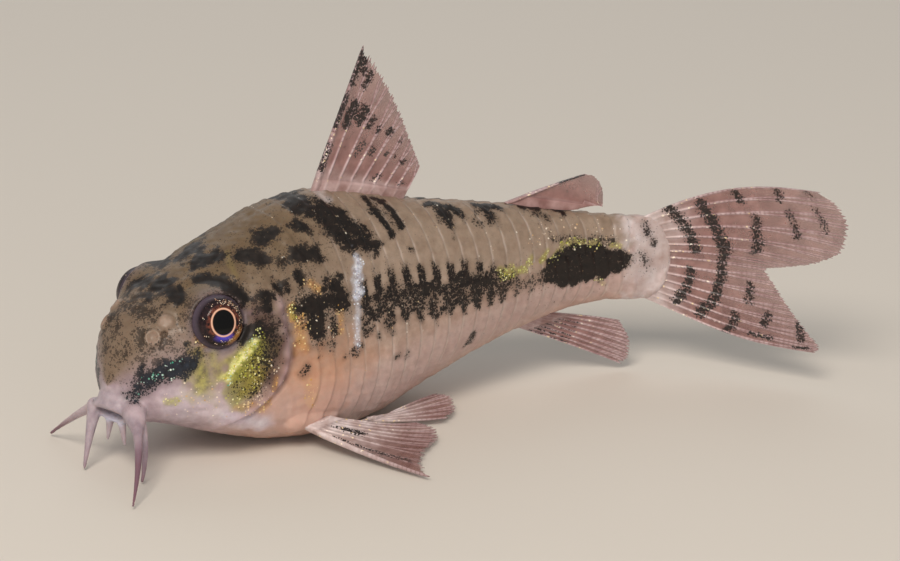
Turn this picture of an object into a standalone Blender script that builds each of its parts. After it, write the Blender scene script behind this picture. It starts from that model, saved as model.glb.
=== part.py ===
"""A young corydoras catfish at life size, resting on its belly and paired fins.

Metres, +Z up. The head points to -X and the fish's left side faces -Y. The body is drawn as it would
lie straight, by station (0 just ahead of the snout, 1 at the tail fin's root), and then bent along a
centre line. Stations, sides and heights are shares of one body length unless a name says metres.
"""

import math

import bmesh
import bpy
import numpy as np
from mathutils import Vector

for old in list(bpy.data.objects):
    bpy.data.objects.remove(old)

FISH = bpy.data.objects.new("fish", None)
bpy.context.scene.collection.objects.link(FISH)

# Driving sizes, in metres.
BODY = 0.033
GAP = 0.0003
GAP_SHARE = GAP / BODY

# Station and heading of the centre line, in degrees: the fish bends to its left.
HEADINGS = (
    (0.00, 22.0),
    (0.28, 8.0),
    (0.55, 0.0),
    (0.80, -3.0),
    (1.00, -26.0),
    (1.15, -50.5),
    (1.45, -63.0),
)
LINE_START, LINE_END, LINE_STEPS = -0.1, 1.45, 776

# Station, back, belly, half width, height of the widest point, fullness of the back and of the belly.
SECTIONS = (
    (0.034, 0.186, 0.082, 0.034, 0.136, 2.2, 2.2),
    (0.06, 0.216, 0.076, 0.062, 0.138, 2.3, 2.3),
    (0.09, 0.241, 0.068, 0.084, 0.139, 2.4, 2.4),
    (0.13, 0.266, 0.057, 0.106, 0.139, 2.5, 2.5),
    (0.18, 0.291, 0.038, 0.124, 0.137, 2.4, 2.6),
    (0.22, 0.310, 0.024, 0.133, 0.135, 2.3, 2.7),
    (0.28, 0.337, 0.007, 0.142, 0.131, 2.1, 2.8),
    (0.35, 0.365, -0.004, 0.146, 0.130, 2.0, 2.8),
    (0.42, 0.376, -0.006, 0.142, 0.134, 1.9, 2.8),
    (0.50, 0.363, 0.002, 0.128, 0.144, 1.9, 2.6),
    (0.60, 0.337, 0.034, 0.106, 0.163, 2.0, 2.3),
    (0.70, 0.318, 0.068, 0.082, 0.178, 2.1, 2.2),
    (0.80, 0.298, 0.098, 0.060, 0.189, 2.2, 2.2),
    (0.90, 0.276, 0.119, 0.041, 0.195, 2.2, 2.2),
    (0.96, 0.267, 0.124, 0.031, 0.195, 2.2, 2.2),
    (1.00, 0.265, 0.122, 0.023, 0.195, 2.2, 2.2),
)
SNOUT = 0.034
SNOUT_ROUNDING = 0.056

# Station, and how far forward each ring of the body leans on the back and on the belly.
LEANS = (
    (0.00, 0.000, 0.000),
    (0.10, 0.000, 0.000),
    (0.30, 0.035, 0.110),
    (0.46, 0.030, 0.050),
    (0.90, 0.014, 0.020),
    (1.00, 0.000, 0.000),
)

GILL = 0.30
TAIL = 0.80
COLUMNS = 40


def smooth(xs, ys):
    """A curve through the points that never overshoots them (a monotone cubic)."""
    xs, ys = np.asarray(xs, float), np.asarray(ys, float)
    step = np.diff(xs)
    slope = np.diff(ys) / step
    tangent = np.concatenate(([slope[0]], np.zeros(len(xs) - 2), [slope[-1]]))
    for i in range(1, len(xs) - 1):
        if slope[i - 1] * slope[i] > 0:
            tangent[i] = 2 * slope[i - 1] * slope[i] / (slope[i - 1] + slope[i])

    def value(x):
        x = np.clip(np.asarray(x, float), xs[0], xs[-1])
        i = np.clip(np.searchsorted(xs, x, side="right") - 1, 0, len(step) - 1)
        u = (x - xs[i]) / step[i]
        rise = ys[i] * (1 + 2 * u) * (1 - u) ** 2 + ys[i + 1] * u * u * (3 - 2 * u)
        return rise + step[i] * u * (1 - u) * (tangent[i] * (1 - u) - tangent[i + 1] * u)

    return value


def columns_of(table):
    """One smooth curve for each column of a table whose first column is the station."""
    rows = list(zip(*table))
    return [smooth(rows[0], row) for row in rows[1:]]


BACK, BELLY, HALF, WIDEST, UPPER, LOWER = columns_of(SECTIONS)
LEAN_BACK, LEAN_BELLY = columns_of(LEANS)
(HEADING,) = columns_of(HEADINGS)

LINE = np.linspace(LINE_START, LINE_END, LINE_STEPS)
LINE_ANGLE = np.radians(HEADING(LINE))


def along(component):
    """The centre line's x or y at each station of LINE, from its direction."""
    steps = (component[1:] + component[:-1]) / 2 * np.diff(LINE) * BODY
    return np.concatenate(([0.0], np.cumsum(steps)))


LINE_X = along(np.cos(LINE_ANGLE))
LINE_Y = along(np.sin(LINE_ANGLE))


def place(station, side, height):
    """The point at a station of the bent fish, side metres to its left and height metres up."""
    angle = np.interp(station, LINE, LINE_ANGLE)
    x = np.interp(station, LINE, LINE_X) + side * np.sin(angle)
    y = np.interp(station, LINE, LINE_Y) - side * np.cos(angle)
    return np.stack(np.broadcast_arrays(x, y, height), axis=-1)


def skin(station, turn, lift=0.0):
    """The body's surface: turn is 0 on the back, a quarter turn on the left side and a half on the belly."""
    cos, sin = np.cos(turn), np.sin(turn)
    full = np.where(cos > 0, UPPER(station), LOWER(station))
    reach = (np.abs(cos) ** full + np.abs(sin) ** full) ** (-1 / full)
    nose = np.clip((station - SNOUT) / SNOUT_ROUNDING, 0, 1)
    swell = np.sqrt(1 - (1 - nose) ** 2) * BODY
    wide = swell * HALF(station)
    tall = swell * np.where(cos > 0, BACK(station) - WIDEST(station), WIDEST(station) - BELLY(station))
    out_side, out_up = sin * tall, cos * wide
    size = np.maximum(np.hypot(out_side, out_up), 1e-9)
    side = wide * reach * sin + lift * out_side / size
    height = WIDEST(station) * BODY + tall * reach * cos + lift * out_up / size
    return place(station, side, np.maximum(height, 0.0))


def flank(station, height):
    """Half the body's width at a station and a height below its widest, both in shares."""
    depth = (WIDEST(station) - height) / (WIDEST(station) - BELLY(station))
    return HALF(station) * max(1 - depth ** LOWER(station), 0) ** (1 / LOWER(station))


SHARP_ANGLE = math.radians(35)

# Plain colours and roughnesses.
HEAD_COLOUR = (0.42, 0.33, 0.29)
TORSO_COLOUR = (0.40, 0.31, 0.27)
STEM_COLOUR = (0.36, 0.28, 0.25)
EYE_COLOUR = (0.02, 0.02, 0.03)
FIN_COLOUR = (0.40, 0.24, 0.21)
BARBEL_COLOUR = (0.45, 0.33, 0.33)
SKIN_ROUGHNESS = 0.40
EYE_ROUGHNESS = 0.10
SOFT_ROUGHNESS = 0.45


def new_object(name, colour, roughness, data):
    """An object with its own material, parented to the fish."""
    material = bpy.data.materials.new(name)
    material.use_nodes = True
    shader = material.node_tree.nodes["Principled BSDF"]
    shader.inputs["Base Color"].default_value = (*colour, 1.0)
    shader.inputs["Roughness"].default_value = roughness
    shader.inputs["Metallic"].default_value = 0.0
    data.materials.append(material)
    if isinstance(data, bpy.types.Mesh):
        data.shade_smooth()
        data.set_sharp_from_angle(angle=SHARP_ANGLE)
    item = bpy.data.objects.new(name, data)
    bpy.context.scene.collection.objects.link(item)
    item.parent = FISH
    return item


def mesh_from(name, points, faces):
    """A mesh with its faces turned outwards."""
    built = bmesh.new()
    corners = [built.verts.new(point) for point in points]
    for face in faces:
        built.faces.new([corners[i] for i in face])
    bmesh.ops.recalc_face_normals(built, faces=built.faces)
    mesh = bpy.data.meshes.new(name)
    built.to_mesh(mesh)
    built.free()
    return mesh


def loft(rings, start, end):
    """Points and triangles of a closed tube through the rings, each end fanned to a point."""
    count = len(rings[0])
    points = np.concatenate([*rings, [start, end]])
    first, last = len(points) - 2, len(points) - 1
    tail = (len(rings) - 1) * count
    faces = []
    for i in range(count):
        j = (i + 1) % count
        faces.append((first, j, i))
        faces.append((last, tail + i, tail + j))
        for ring in range(len(rings) - 1):
            a, b = ring * count + i, ring * count + j
            c, d = a + count, b + count
            faces += [(a, b, d), (a, d, c)]
    return points, faces


TURNS = np.arange(COLUMNS) * 2 * math.pi / COLUMNS


def ring_stations(station, turns=TURNS):
    """The station of each point of a ring, which leans forward towards the back and the belly."""
    cos = np.cos(turns)
    lean = np.where(cos > 0, LEAN_BACK(station), LEAN_BELLY(station))
    return station - lean * cos**2


def ring_centre(station):
    """The middle of a leaning ring, for the fan that closes a cut end."""
    middle = station - (LEAN_BACK(station) + LEAN_BELLY(station)) / 4
    return place(middle, 0.0, WIDEST(middle) * BODY)


# Scutes: an upper and a lower row on each side, each plate's rear edge standing over the next one.
SHOULDER = 0.335
FIRST_SCUTE = 0.031
LAST_SCUTE = 0.025
SCUTE_RISE = 0.00015
SCUTE_STEP = 0.004
LATERAL_GROOVE = 0.00012
PLATED_FROM, PLATED_BY = 0.015, 0.045


def scute_edges(start, end):
    """The stations of the plates' rear edges, closer together towards the tail."""
    edges = [start]
    while edges[-1] < end - LAST_SCUTE / 2:
        share = (edges[-1] - SHOULDER) / (1.0 - SHOULDER)
        edges.append(edges[-1] + FIRST_SCUTE + (LAST_SCUTE - FIRST_SCUTE) * share)
    scale = (end - start) / (edges[-1] - start)
    return [start + (edge - start) * scale for edge in edges]


def scuted(name, colour, start, end, plain_until=None):
    """A length of the body whose surface steps up at the rear edge of each ring of scutes."""
    groove = -LATERAL_GROOVE * np.isclose(np.abs(np.sin(TURNS)), 1.0)
    rings = []
    if plain_until:
        rings += [skin(ring_stations(station), TURNS) for station in np.linspace(start, plain_until, 3)[:-1]]
    edges = scute_edges(plain_until or start, end)
    for front, rear in zip(edges[:-1], edges[1:]):
        foot = rear - SCUTE_STEP if rear < end else rear
        stations = ring_stations(foot)
        height = skin(stations, TURNS)[:, 2] / BODY
        plated = np.clip((height - PLATED_FROM) / (PLATED_BY - PLATED_FROM), 0, 1)
        rings.append(skin(ring_stations(front), TURNS, groove))
        rings.append(skin(stations, TURNS, SCUTE_RISE * plated + groove))
    points, faces = loft(rings, ring_centre(start), ring_centre(end))
    return new_object(name, colour, SKIN_ROUGHNESS, mesh_from(name, points, faces))


# Head: a blunt snout that widens to the gill covers, with sockets, nostrils and a small mouth.
HEAD_COLUMNS = 52
HEAD_TURNS = np.arange(HEAD_COLUMNS) * 2 * math.pi / HEAD_COLUMNS
SNOUT_RINGS = 6
HEAD_RINGS = 21
GILL_RISE = 0.00028
CHEEK_START = 0.19
CHEEK_FROM, CHEEK_BY = 0.45, 0.40

EYE_RADIUS = 0.0014
EYE_STATION = 0.182
EYE_SIDE = 0.0905
EYE_HEIGHT = 0.229
SOCKET_RADIUS = EYE_RADIUS + GAP
RIM_RISE = 0.00020
RIM_WIDTH = 0.00045


def eye_centre(hand):
    """The middle of the left eye (hand 1) or the right eye (hand -1)."""
    return place(EYE_STATION, hand * EYE_SIDE * BODY, EYE_HEIGHT * BODY)


def head_lift(stations, turns):
    """How far the head stands proud of the plain loft: the gill covers and the rims round the eyes."""
    cheek = np.clip((np.abs(np.sin(turns)) - CHEEK_FROM) / CHEEK_BY, 0, 1)
    reach = np.clip((stations - CHEEK_START) / (GILL - CHEEK_START), 0, 1)
    lift = GILL_RISE * cheek * reach**2
    plain = skin(stations, turns)
    for hand in (1, -1):
        off = np.linalg.norm(plain - eye_centre(hand), axis=-1) - SOCKET_RADIUS
        lift = lift + RIM_RISE * np.exp(-((off / RIM_WIDTH) ** 2))
    return lift


def head_ring(station):
    """One ring of the head's surface."""
    stations = ring_stations(station, HEAD_TURNS)
    return skin(stations, HEAD_TURNS, head_lift(stations, HEAD_TURNS))


# The mouth: its place, its slope, and the arcs of the two lips.
MOUTH_STATION = 0.045
MOUTH_HEIGHT = 0.0030
MOUTH_TILT = math.radians(42)
MOUTH_HALF = 0.00115
LIP_THICK = 0.00030
LIP_END_SHARE = 0.45
LIP_OUT = 0.00012
UPPER_LIP = 0.00042
LOWER_LIP = -0.00052
MOUTH = (0.00085, 0.00032, 0.00060)
MUZZLE = (0.00122, 0.00088, 0.00100)
MUZZLE_BACK = 0.00065
CORNER_RADIUS = 0.00046
CORNER_SIDE, CORNER_UP, CORNER_OUT = 0.00132, 0.00005, 0.00010


def mouth_point(across, up, out):
    """A point of the mouth's own plane, which faces forward and down: up runs forward to the upper lip."""
    back = -up * math.sin(MOUTH_TILT) - out * math.cos(MOUTH_TILT)
    height = MOUTH_HEIGHT + up * math.cos(MOUTH_TILT) - out * math.sin(MOUTH_TILT)
    return place(MOUTH_STATION + back / BODY, across, height)


def tube(name, points, radii, sides=8):
    """A closed tube mesh through the points, with a radius at each."""
    points = [Vector(p) for p in points]
    rings = []
    across = None
    for i, point in enumerate(points):
        ahead = points[min(i + 1, len(points) - 1)] - points[max(i - 1, 0)]
        ahead.normalize()
        if across is None:
            across = ahead.orthogonal().normalized()
        across = (across - ahead * across.dot(ahead)).normalized()
        other = ahead.cross(across)
        turns = [2 * math.pi * k / sides for k in range(sides)]
        rings.append(
            np.array([point + radii[i] * (math.cos(a) * across + math.sin(a) * other) for a in turns])
        )
    return mesh_from(name, *loft(rings, points[0], points[-1]))


def ball(name, centre, radius, segments=12, rings=8):
    """A closed ball."""
    built = bmesh.new()
    bmesh.ops.create_uvsphere(built, u_segments=segments, v_segments=rings, radius=radius)
    bmesh.ops.translate(built, verts=built.verts, vec=Vector(centre))
    mesh = bpy.data.meshes.new(name)
    built.to_mesh(mesh)
    built.free()
    return mesh


def mouth_ball(name, out, across, up, deep):
    """A flattened ball in the mouth's own plane, from its half sizes."""
    mesh = ball(name, (0, 0, 0), 1.0, 20, 12)
    for vert in mesh.vertices:
        vert.co = mouth_point(-vert.co.x * across, vert.co.y * up, out + vert.co.z * deep)
    return mesh


def combine(target, meshes, operation):
    """Joins or cuts the target with a collection of closed meshes, and removes them."""
    group = bpy.data.collections.new(target.name + "_" + operation.lower())
    bpy.context.scene.collection.children.link(group)
    for mesh in meshes:
        group.objects.link(bpy.data.objects.new(mesh.name, mesh))
    boolean = target.modifiers.new("combine", "BOOLEAN")
    boolean.operation = operation
    boolean.operand_type = "COLLECTION"
    boolean.collection = group
    boolean.solver = "EXACT"
    bpy.context.view_layer.update()
    graph = bpy.context.evaluated_depsgraph_get()
    shaped = bpy.data.meshes.new_from_object(target.evaluated_get(graph))
    target.modifiers.remove(boolean)
    target.data = shaped
    for item in list(group.objects):
        bpy.data.objects.remove(item)
    bpy.data.collections.remove(group)
    keep_largest(target)


def keep_largest(target):
    """Drops every loose scrap of the mesh but its largest closed surface."""
    built = bmesh.new()
    built.from_mesh(target.data)
    left, shells = set(built.verts), []
    while left:
        shell, edge = set(), [next(iter(left))]
        while edge:
            vert = edge.pop()
            if vert in shell:
                continue
            shell.add(vert)
            edge += [e.other_vert(vert) for e in vert.link_edges]
        shells.append(shell)
        left -= shell
    shells.sort(key=len)
    bmesh.ops.delete(built, geom=[v for shell in shells[:-1] for v in shell], context="VERTS")
    built.to_mesh(target.data)
    built.free()


NOSTRIL, NOSTRIL_TURN = 0.082, math.radians(41)
REAR_NOSTRIL, REAR_NOSTRIL_TURN = 0.106, math.radians(36)
NOSTRIL_RADIUS = 0.00042
NOSTRIL_PIT = 0.00024
NOSTRIL_RISE = 0.00005


def make_head():
    """The head: its loft, joined with muzzle, lips and nostrils, then cut by mouth, pits and sockets."""
    angles = np.linspace(0, math.pi / 2, SNOUT_RINGS + 1)[1:]
    snout = SNOUT + SNOUT_ROUNDING * (1 - np.cos(angles))
    rest = np.linspace(SNOUT + SNOUT_ROUNDING, GILL, HEAD_RINGS + 1)[1:]
    rings = [head_ring(station) for station in (*snout, *rest)]
    tip = place(SNOUT, 0.0, WIDEST(SNOUT) * BODY)
    points, faces = loft(rings, tip, ring_centre(GILL))
    head = new_object("head", HEAD_COLOUR, SKIN_ROUGHNESS, mesh_from("head", points, faces))

    added = [mouth_ball("muzzle", -MUZZLE_BACK, *MUZZLE)]
    for name, bulge in (("upper_lip", UPPER_LIP), ("lower_lip", LOWER_LIP)):
        turns = np.linspace(-math.pi / 2, math.pi / 2, 9)
        arc = [mouth_point(MOUTH_HALF * math.sin(a), bulge * math.cos(a), LIP_OUT) for a in turns]
        shares = [LIP_END_SHARE + (1 - LIP_END_SHARE) * math.cos(a) for a in turns]
        added.append(tube(name, arc, [LIP_THICK * share for share in shares]))
    cut = [mouth_ball("mouth", LIP_OUT, *MOUTH)]
    for hand in (1, -1):
        turn = hand * NOSTRIL_TURN
        added.append(ball("nostril", skin(NOSTRIL, turn, NOSTRIL_RISE), NOSTRIL_RADIUS))
        cut.append(ball("pit", skin(NOSTRIL, turn, NOSTRIL_RISE + NOSTRIL_RADIUS), NOSTRIL_PIT))
        cut.append(ball("rear_pit", skin(REAR_NOSTRIL, hand * REAR_NOSTRIL_TURN, NOSTRIL_RISE), NOSTRIL_PIT))
        added.append(ball("corner", corner_of_mouth(hand), CORNER_RADIUS))
        cut.append(ball("socket", eye_centre(hand), SOCKET_RADIUS, segments=24, rings=16))
    combine(head, added, "UNION")
    combine(head, cut, "DIFFERENCE")


def corner_of_mouth(hand):
    """The fleshy knob at each corner of the mouth, from which two barbels grow."""
    return mouth_point(hand * CORNER_SIDE, CORNER_UP, CORNER_OUT)


make_head()

# Torso and tail stem: rings of bony scutes in an upper and a lower row on each side.
scuted("torso", TORSO_COLOUR, GILL + GAP_SHARE, TAIL, plain_until=SHOULDER)
scuted("tail_stem", STEM_COLOUR, TAIL + GAP_SHARE, 1.0)

# Eyes: a ball in each socket.
for label, hand in (("left", 1), ("right", -1)):
    ball_mesh = ball("eye_" + label, (0, 0, 0), EYE_RADIUS, segments=20, rings=14)
    eye = new_object("eye_" + label, EYE_COLOUR, EYE_ROUGHNESS, ball_mesh)
    eye.location = Vector(eye_centre(hand))


# Fins: soft rays raised as ridges on both faces of a thin web.
WEB_HALF = 0.00023
RAY_HALF = 0.00032
EDGE_HALF = 0.00020
SPINE_HALF = 0.00036
ROOT_SHARE = 0.16
SCALLOP = 0.965
ROW_SPREAD = 0.9
TAPER = 1.5

# The spine's thick part and the step back of the soft rays behind it, as shares of one column.
SPINE_FROM, SPINE_TO = 0.30, 0.75
SPINE_ROOM = 0.25


def fin_columns(rays, spined):
    """The share of the fin's breadth and the half thickness at each column: ridge, web, ridge."""
    last = 2 * (rays - 1)
    found = [(j / last, RAY_HALF if j % 2 == 0 else WEB_HALF) for j in range(last + 1)]
    if spined:
        step = 1 / last
        spine = [(0.0, RAY_HALF), (SPINE_FROM * step, SPINE_HALF), (SPINE_TO * step, SPINE_HALF)]
        soft = [(share + (1 - share) * SPINE_ROOM * step, half) for share, half in found[1:]]
        found = spine + soft
    return found


def fin(name, surface, rays, rows, root_half=None, spined=False):
    """One closed fin round the sheet surface(share, reach), from first ray to last and root to tip."""
    columns = fin_columns(rays, spined)
    reaches = np.linspace(0, 1, rows + 1) ** ROW_SPREAD
    front, rear = [], []
    small = 1e-3
    for share, half in columns:
        web = half == WEB_HALF
        for reach in reaches:
            here = reach * (SCALLOP if web else 1.0)
            point = surface(share, here)
            ahead = surface(share, min(here + small, 1.0)) - surface(share, max(here - small, 0.0))
            aside = surface(min(share + small, 1.0), here) - surface(max(share - small, 0.0), here)
            normal = np.cross(aside, ahead)
            normal = normal / max(np.linalg.norm(normal), 1e-12)
            thick = half + (EDGE_HALF - half) * here**TAPER
            if root_half is not None:
                thick += max(root_half - half, 0) * max(1 - here / ROOT_SHARE, 0) ** TAPER
            front.append(point + normal * thick)
            rear.append(point - normal * thick)
    count = rows + 1
    back = len(front)
    faces = []
    for i in range(len(columns) - 1):
        for j in range(rows):
            a, b = i * count + j, (i + 1) * count + j
            c, d = b + 1, a + 1
            faces += [(a, b, c), (a, c, d), (back + a, back + c, back + b), (back + a, back + d, back + c)]
    rim = list(range(count))
    rim += [i * count + rows for i in range(1, len(columns))]
    rim += [(len(columns) - 1) * count + j for j in range(rows - 1, -1, -1)]
    rim += [i * count for i in range(len(columns) - 2, 0, -1)]
    for a, b in zip(rim, rim[1:] + rim[:1]):
        faces += [(a, b, back + b), (a, back + b, back + a)]
    return new_object(name, FIN_COLOUR, SOFT_ROUGHNESS, mesh_from(name, np.array(front + rear), faces))


def midline_fin(name, root, tips, rays, rows, spined=False, root_half=None, bow=0.0):
    """A fin on the body's midline, whose outer rays bow apart. root and tips give station and height."""

    def surface(share, reach):
        root_station, root_height = root(share)
        tip_station, tip_height = tips(share)
        station = root_station + (tip_station - root_station) * reach
        height = root_height + (tip_height - root_height) * reach
        height += bow * (1 - 2 * share) * math.sin(math.pi * reach)
        return place(station, 0.0, height * BODY)

    return fin(name, surface, rays, rows, root_half, spined)


# Dorsal fin: a stout spine and eight soft rays, raised.
DORSAL_START, DORSAL_END = 0.435, 0.600
DORSAL_TIPS = smooth((0.0, 0.12, 0.35, 0.7, 1.0), (0.524, 0.541, 0.577, 0.606, 0.622))
DORSAL_HEIGHTS = smooth((0.0, 0.12, 0.35, 0.7, 1.0), (0.598, 0.575, 0.510, 0.437, 0.388))


def on_back(station):
    return BACK(station) + (SCUTE_RISE + GAP) / BODY


def under_belly(station):
    return BELLY(station) - (SCUTE_RISE + GAP) / BODY


def dorsal_root(share):
    station = DORSAL_START + (DORSAL_END - DORSAL_START) * share
    return station, on_back(station)


def dorsal_tip(share):
    return DORSAL_TIPS(share), DORSAL_HEIGHTS(share)


midline_fin("dorsal_fin", dorsal_root, dorsal_tip, 9, 9, spined=True)

# Adipose fin: a short spine laid back over a small web.
ADIPOSE_START, ADIPOSE_END = 0.800, 0.938
ADIPOSE_TIP, ADIPOSE_TIP_LENGTH = 0.915, 0.032
ADIPOSE_TOP, ADIPOSE_DROP = 0.338, 0.044


def adipose_root(share):
    station = ADIPOSE_START + (ADIPOSE_END - ADIPOSE_START) * share
    return station, on_back(station)


def adipose_tip(share):
    return ADIPOSE_TIP + ADIPOSE_TIP_LENGTH * share, ADIPOSE_TOP - ADIPOSE_DROP * share**2


midline_fin("adipose_fin", adipose_root, adipose_tip, 2, 5, spined=True)

# Anal fin: seven soft rays under the tail stem, swept back.
ANAL_START, ANAL_END = 0.808, 0.886
ANAL_TIPS = smooth((0.0, 0.25, 0.6, 1.0), (0.978, 0.990, 0.993, 0.975))
ANAL_HEIGHTS = smooth((0.0, 0.25, 0.6, 1.0), (0.010, 0.020, 0.048, 0.086))


def anal_root(share):
    station = ANAL_START + (ANAL_END - ANAL_START) * share
    return station, under_belly(station)


def anal_tip(share):
    return ANAL_TIPS(share), ANAL_HEIGHTS(share)


midline_fin("anal_fin", anal_root, anal_tip, 7, 7)

# Tail fin: a fan of soft rays with a rounded upper lobe, a fork and a pointed lower lobe.
CAUDAL_TOP, CAUDAL_BOTTOM = 0.262, 0.126
CAUDAL_SHARES = (0.0, 0.08, 0.16, 0.25, 0.35, 0.45, 0.52, 0.60, 0.70, 0.82, 0.93, 1.0)
CAUDAL_TIPS = smooth(
    CAUDAL_SHARES, (1.310, 1.346, 1.364, 1.354, 1.305, 1.248, 1.219, 1.238, 1.264, 1.294, 1.316, 1.308)
)
CAUDAL_HEIGHTS = smooth(
    CAUDAL_SHARES, (0.334, 0.315, 0.283, 0.242, 0.212, 0.197, 0.190, 0.164, 0.131, 0.098, 0.072, 0.062)
)
CAUDAL_ROOT_HALF = 0.00062
CAUDAL_BOW = 0.022
CAUDAL_RAYS = 15


def caudal_root(share):
    return 1.0 + GAP_SHARE, CAUDAL_TOP + (CAUDAL_BOTTOM - CAUDAL_TOP) * share


def caudal_tip(share):
    return CAUDAL_TIPS(share), CAUDAL_HEIGHTS(share)


midline_fin("tail_fin", caudal_root, caudal_tip, CAUDAL_RAYS, 9, root_half=CAUDAL_ROOT_HALF, bow=CAUDAL_BOW)


# Paired fins: pectorals spread with the spine foremost, and pelvics trailing behind them.
class PairedFin:
    """The roots and tips of a paired fin. Tips are (station, side, height) at shares of its breadth."""

    def __init__(self, roots, root_heights, shares, tips):
        self.roots = roots
        self.root_heights = root_heights
        self.tips = [smooth(shares, column) for column in zip(*tips)]

    def point(self, share, reach, hand):
        station = self.roots[0] + (self.roots[1] - self.roots[0]) * share
        height = self.root_heights[0] + (self.root_heights[1] - self.root_heights[0]) * share
        off = (SCUTE_RISE + GAP) / BODY
        start = np.array([station, flank(station, height + RAY_HALF / BODY) + off, height])
        end = np.array([tip(share) for tip in self.tips])
        spot = start + (end - start) * reach
        spot[2] = start[2] + (end[2] - start[2]) * math.sin(reach * math.pi / 2)
        return place(spot[0], hand * spot[1] * BODY, spot[2] * BODY)

    def make(self, name, hand, rays, rows, spined):
        def surface(share, reach):
            return self.point(share, reach, hand)

        made = fin(name, surface, rays, rows, spined=spined)
        for vert in made.data.vertices:
            vert.co.z = max(vert.co.z, 0.0)


PECTORAL = PairedFin(
    (0.338, 0.385),
    (0.034, 0.030),
    (0.0, 0.14, 0.35, 0.6, 0.8, 1.0),
    (
        (0.437, 0.358, 0.009),
        (0.462, 0.300, 0.009),
        (0.512, 0.245, 0.010),
        (0.546, 0.212, 0.012),
        (0.556, 0.184, 0.014),
        (0.538, 0.156, 0.018),
    ),
)
PELVIC = PairedFin(
    (0.470, 0.505),
    (0.018, 0.020),
    (0.0, 0.35, 0.7, 1.0),
    ((0.600, 0.140, 0.010), (0.630, 0.112, 0.014), (0.640, 0.080, 0.020), (0.622, 0.062, 0.026)),
)

for label, hand in (("left", 1), ("right", -1)):
    PECTORAL.make("pectoral_fin_" + label, hand, 9, 8, True)
    PELVIC.make("pelvic_fin_" + label, hand, 6, 6, False)

# Barbels: two from each corner of the mouth and a short pair on the lower lip.
BARBEL_ROOT = 0.00040
BARBEL_MIDDLE_SHARE = 0.72
BARBEL_TIP_SHARE = 0.30
LONG_BOW, SHORT_BOW = 0.0006, 0.0001
FEELER_FLOOR = 0.00020

# The chin barbels' root radius, and their ends in the mouth's plane: across, up and out.
CHIN_ROOT = 0.00027
CHIN_START = (0.0004, LOWER_LIP - 0.0005, 0.00035)
CHIN_TIP = (0.0006, LOWER_LIP - 0.0013, 0.00090)


def barbel(name, start, middle, end, root=BARBEL_ROOT):
    """A soft feeler through three points in metres, which tapers from the lip to its tip."""
    line = bpy.data.curves.new(name, "CURVE")
    line.dimensions = "3D"
    line.bevel_depth = root
    line.bevel_resolution = 2
    line.use_fill_caps = True
    line.resolution_u = 4
    spline = line.splines.new("BEZIER")
    spline.bezier_points.add(2)
    shares = (1.0, BARBEL_MIDDLE_SHARE, BARBEL_TIP_SHARE)
    for point, spot, radius in zip(spline.bezier_points, (start, middle, end), shares):
        point.co = Vector(spot)
        point.radius = radius
        point.handle_left_type = point.handle_right_type = "AUTO"
    return new_object(name, BARBEL_COLOUR, SOFT_ROUGHNESS, line)


def barbel_start(hand, aim):
    """The point just off the mouth's corner, towards aim."""
    knob = Vector(corner_of_mouth(hand))
    return knob + (Vector(aim) - knob).normalized() * (CORNER_RADIUS + GAP)


for label, hand, long_tip, short_tip in (
    ("left", 1, (-0.075, 0.145), (0.015, 0.080)),
    ("right", -1, (0.070, -0.175), (0.004, -0.024)),
):
    knob = Vector(corner_of_mouth(hand))
    for kind, tip, bow in (("long", long_tip, LONG_BOW), ("short", short_tip, SHORT_BOW)):
        end = Vector(place(tip[0], tip[1] * BODY, FEELER_FLOOR))
        middle = knob.lerp(end, 0.5) + Vector((0, 0, bow))
        barbel(f"barbel_{kind}_{label}", barbel_start(hand, middle), middle, end)
    chin = Vector(mouth_point(hand * CHIN_START[0], *CHIN_START[1:]))
    chin_tip = Vector(mouth_point(hand * CHIN_TIP[0], *CHIN_TIP[1:]))
    barbel(f"barbel_chin_{label}", chin, chin.lerp(chin_tip, 0.5), chin_tip, CHIN_ROOT)


def set_on_origin():
    """Moves the fish so that the middle of its box's underside is the origin."""
    bpy.context.view_layer.update()
    graph = bpy.context.evaluated_depsgraph_get()
    points = []
    for item in FISH.children:
        shaped = item.evaluated_get(graph)
        points += [item.matrix_world @ vert.co for vert in shaped.to_mesh().vertices]
        shaped.to_mesh_clear()
    low = Vector([min(point[i] for point in points) for i in range(3)])
    high = Vector([max(point[i] for point in points) for i in range(3)])
    FISH.location = (-(low.x + high.x) / 2, -(low.y + high.y) / 2, -low.z)


set_on_origin()
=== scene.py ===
"""A young armoured catfish as a life-size museum model, resting on its belly and spread fins.

Shapes are worked out in millimetres by station along the body and moved into the frame's metres when
each mesh is made. The head points to -X and the fish's left side faces -Y.
"""

import math

import bmesh
import bpy
import numpy as np
from mathutils import Matrix, Vector


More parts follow.
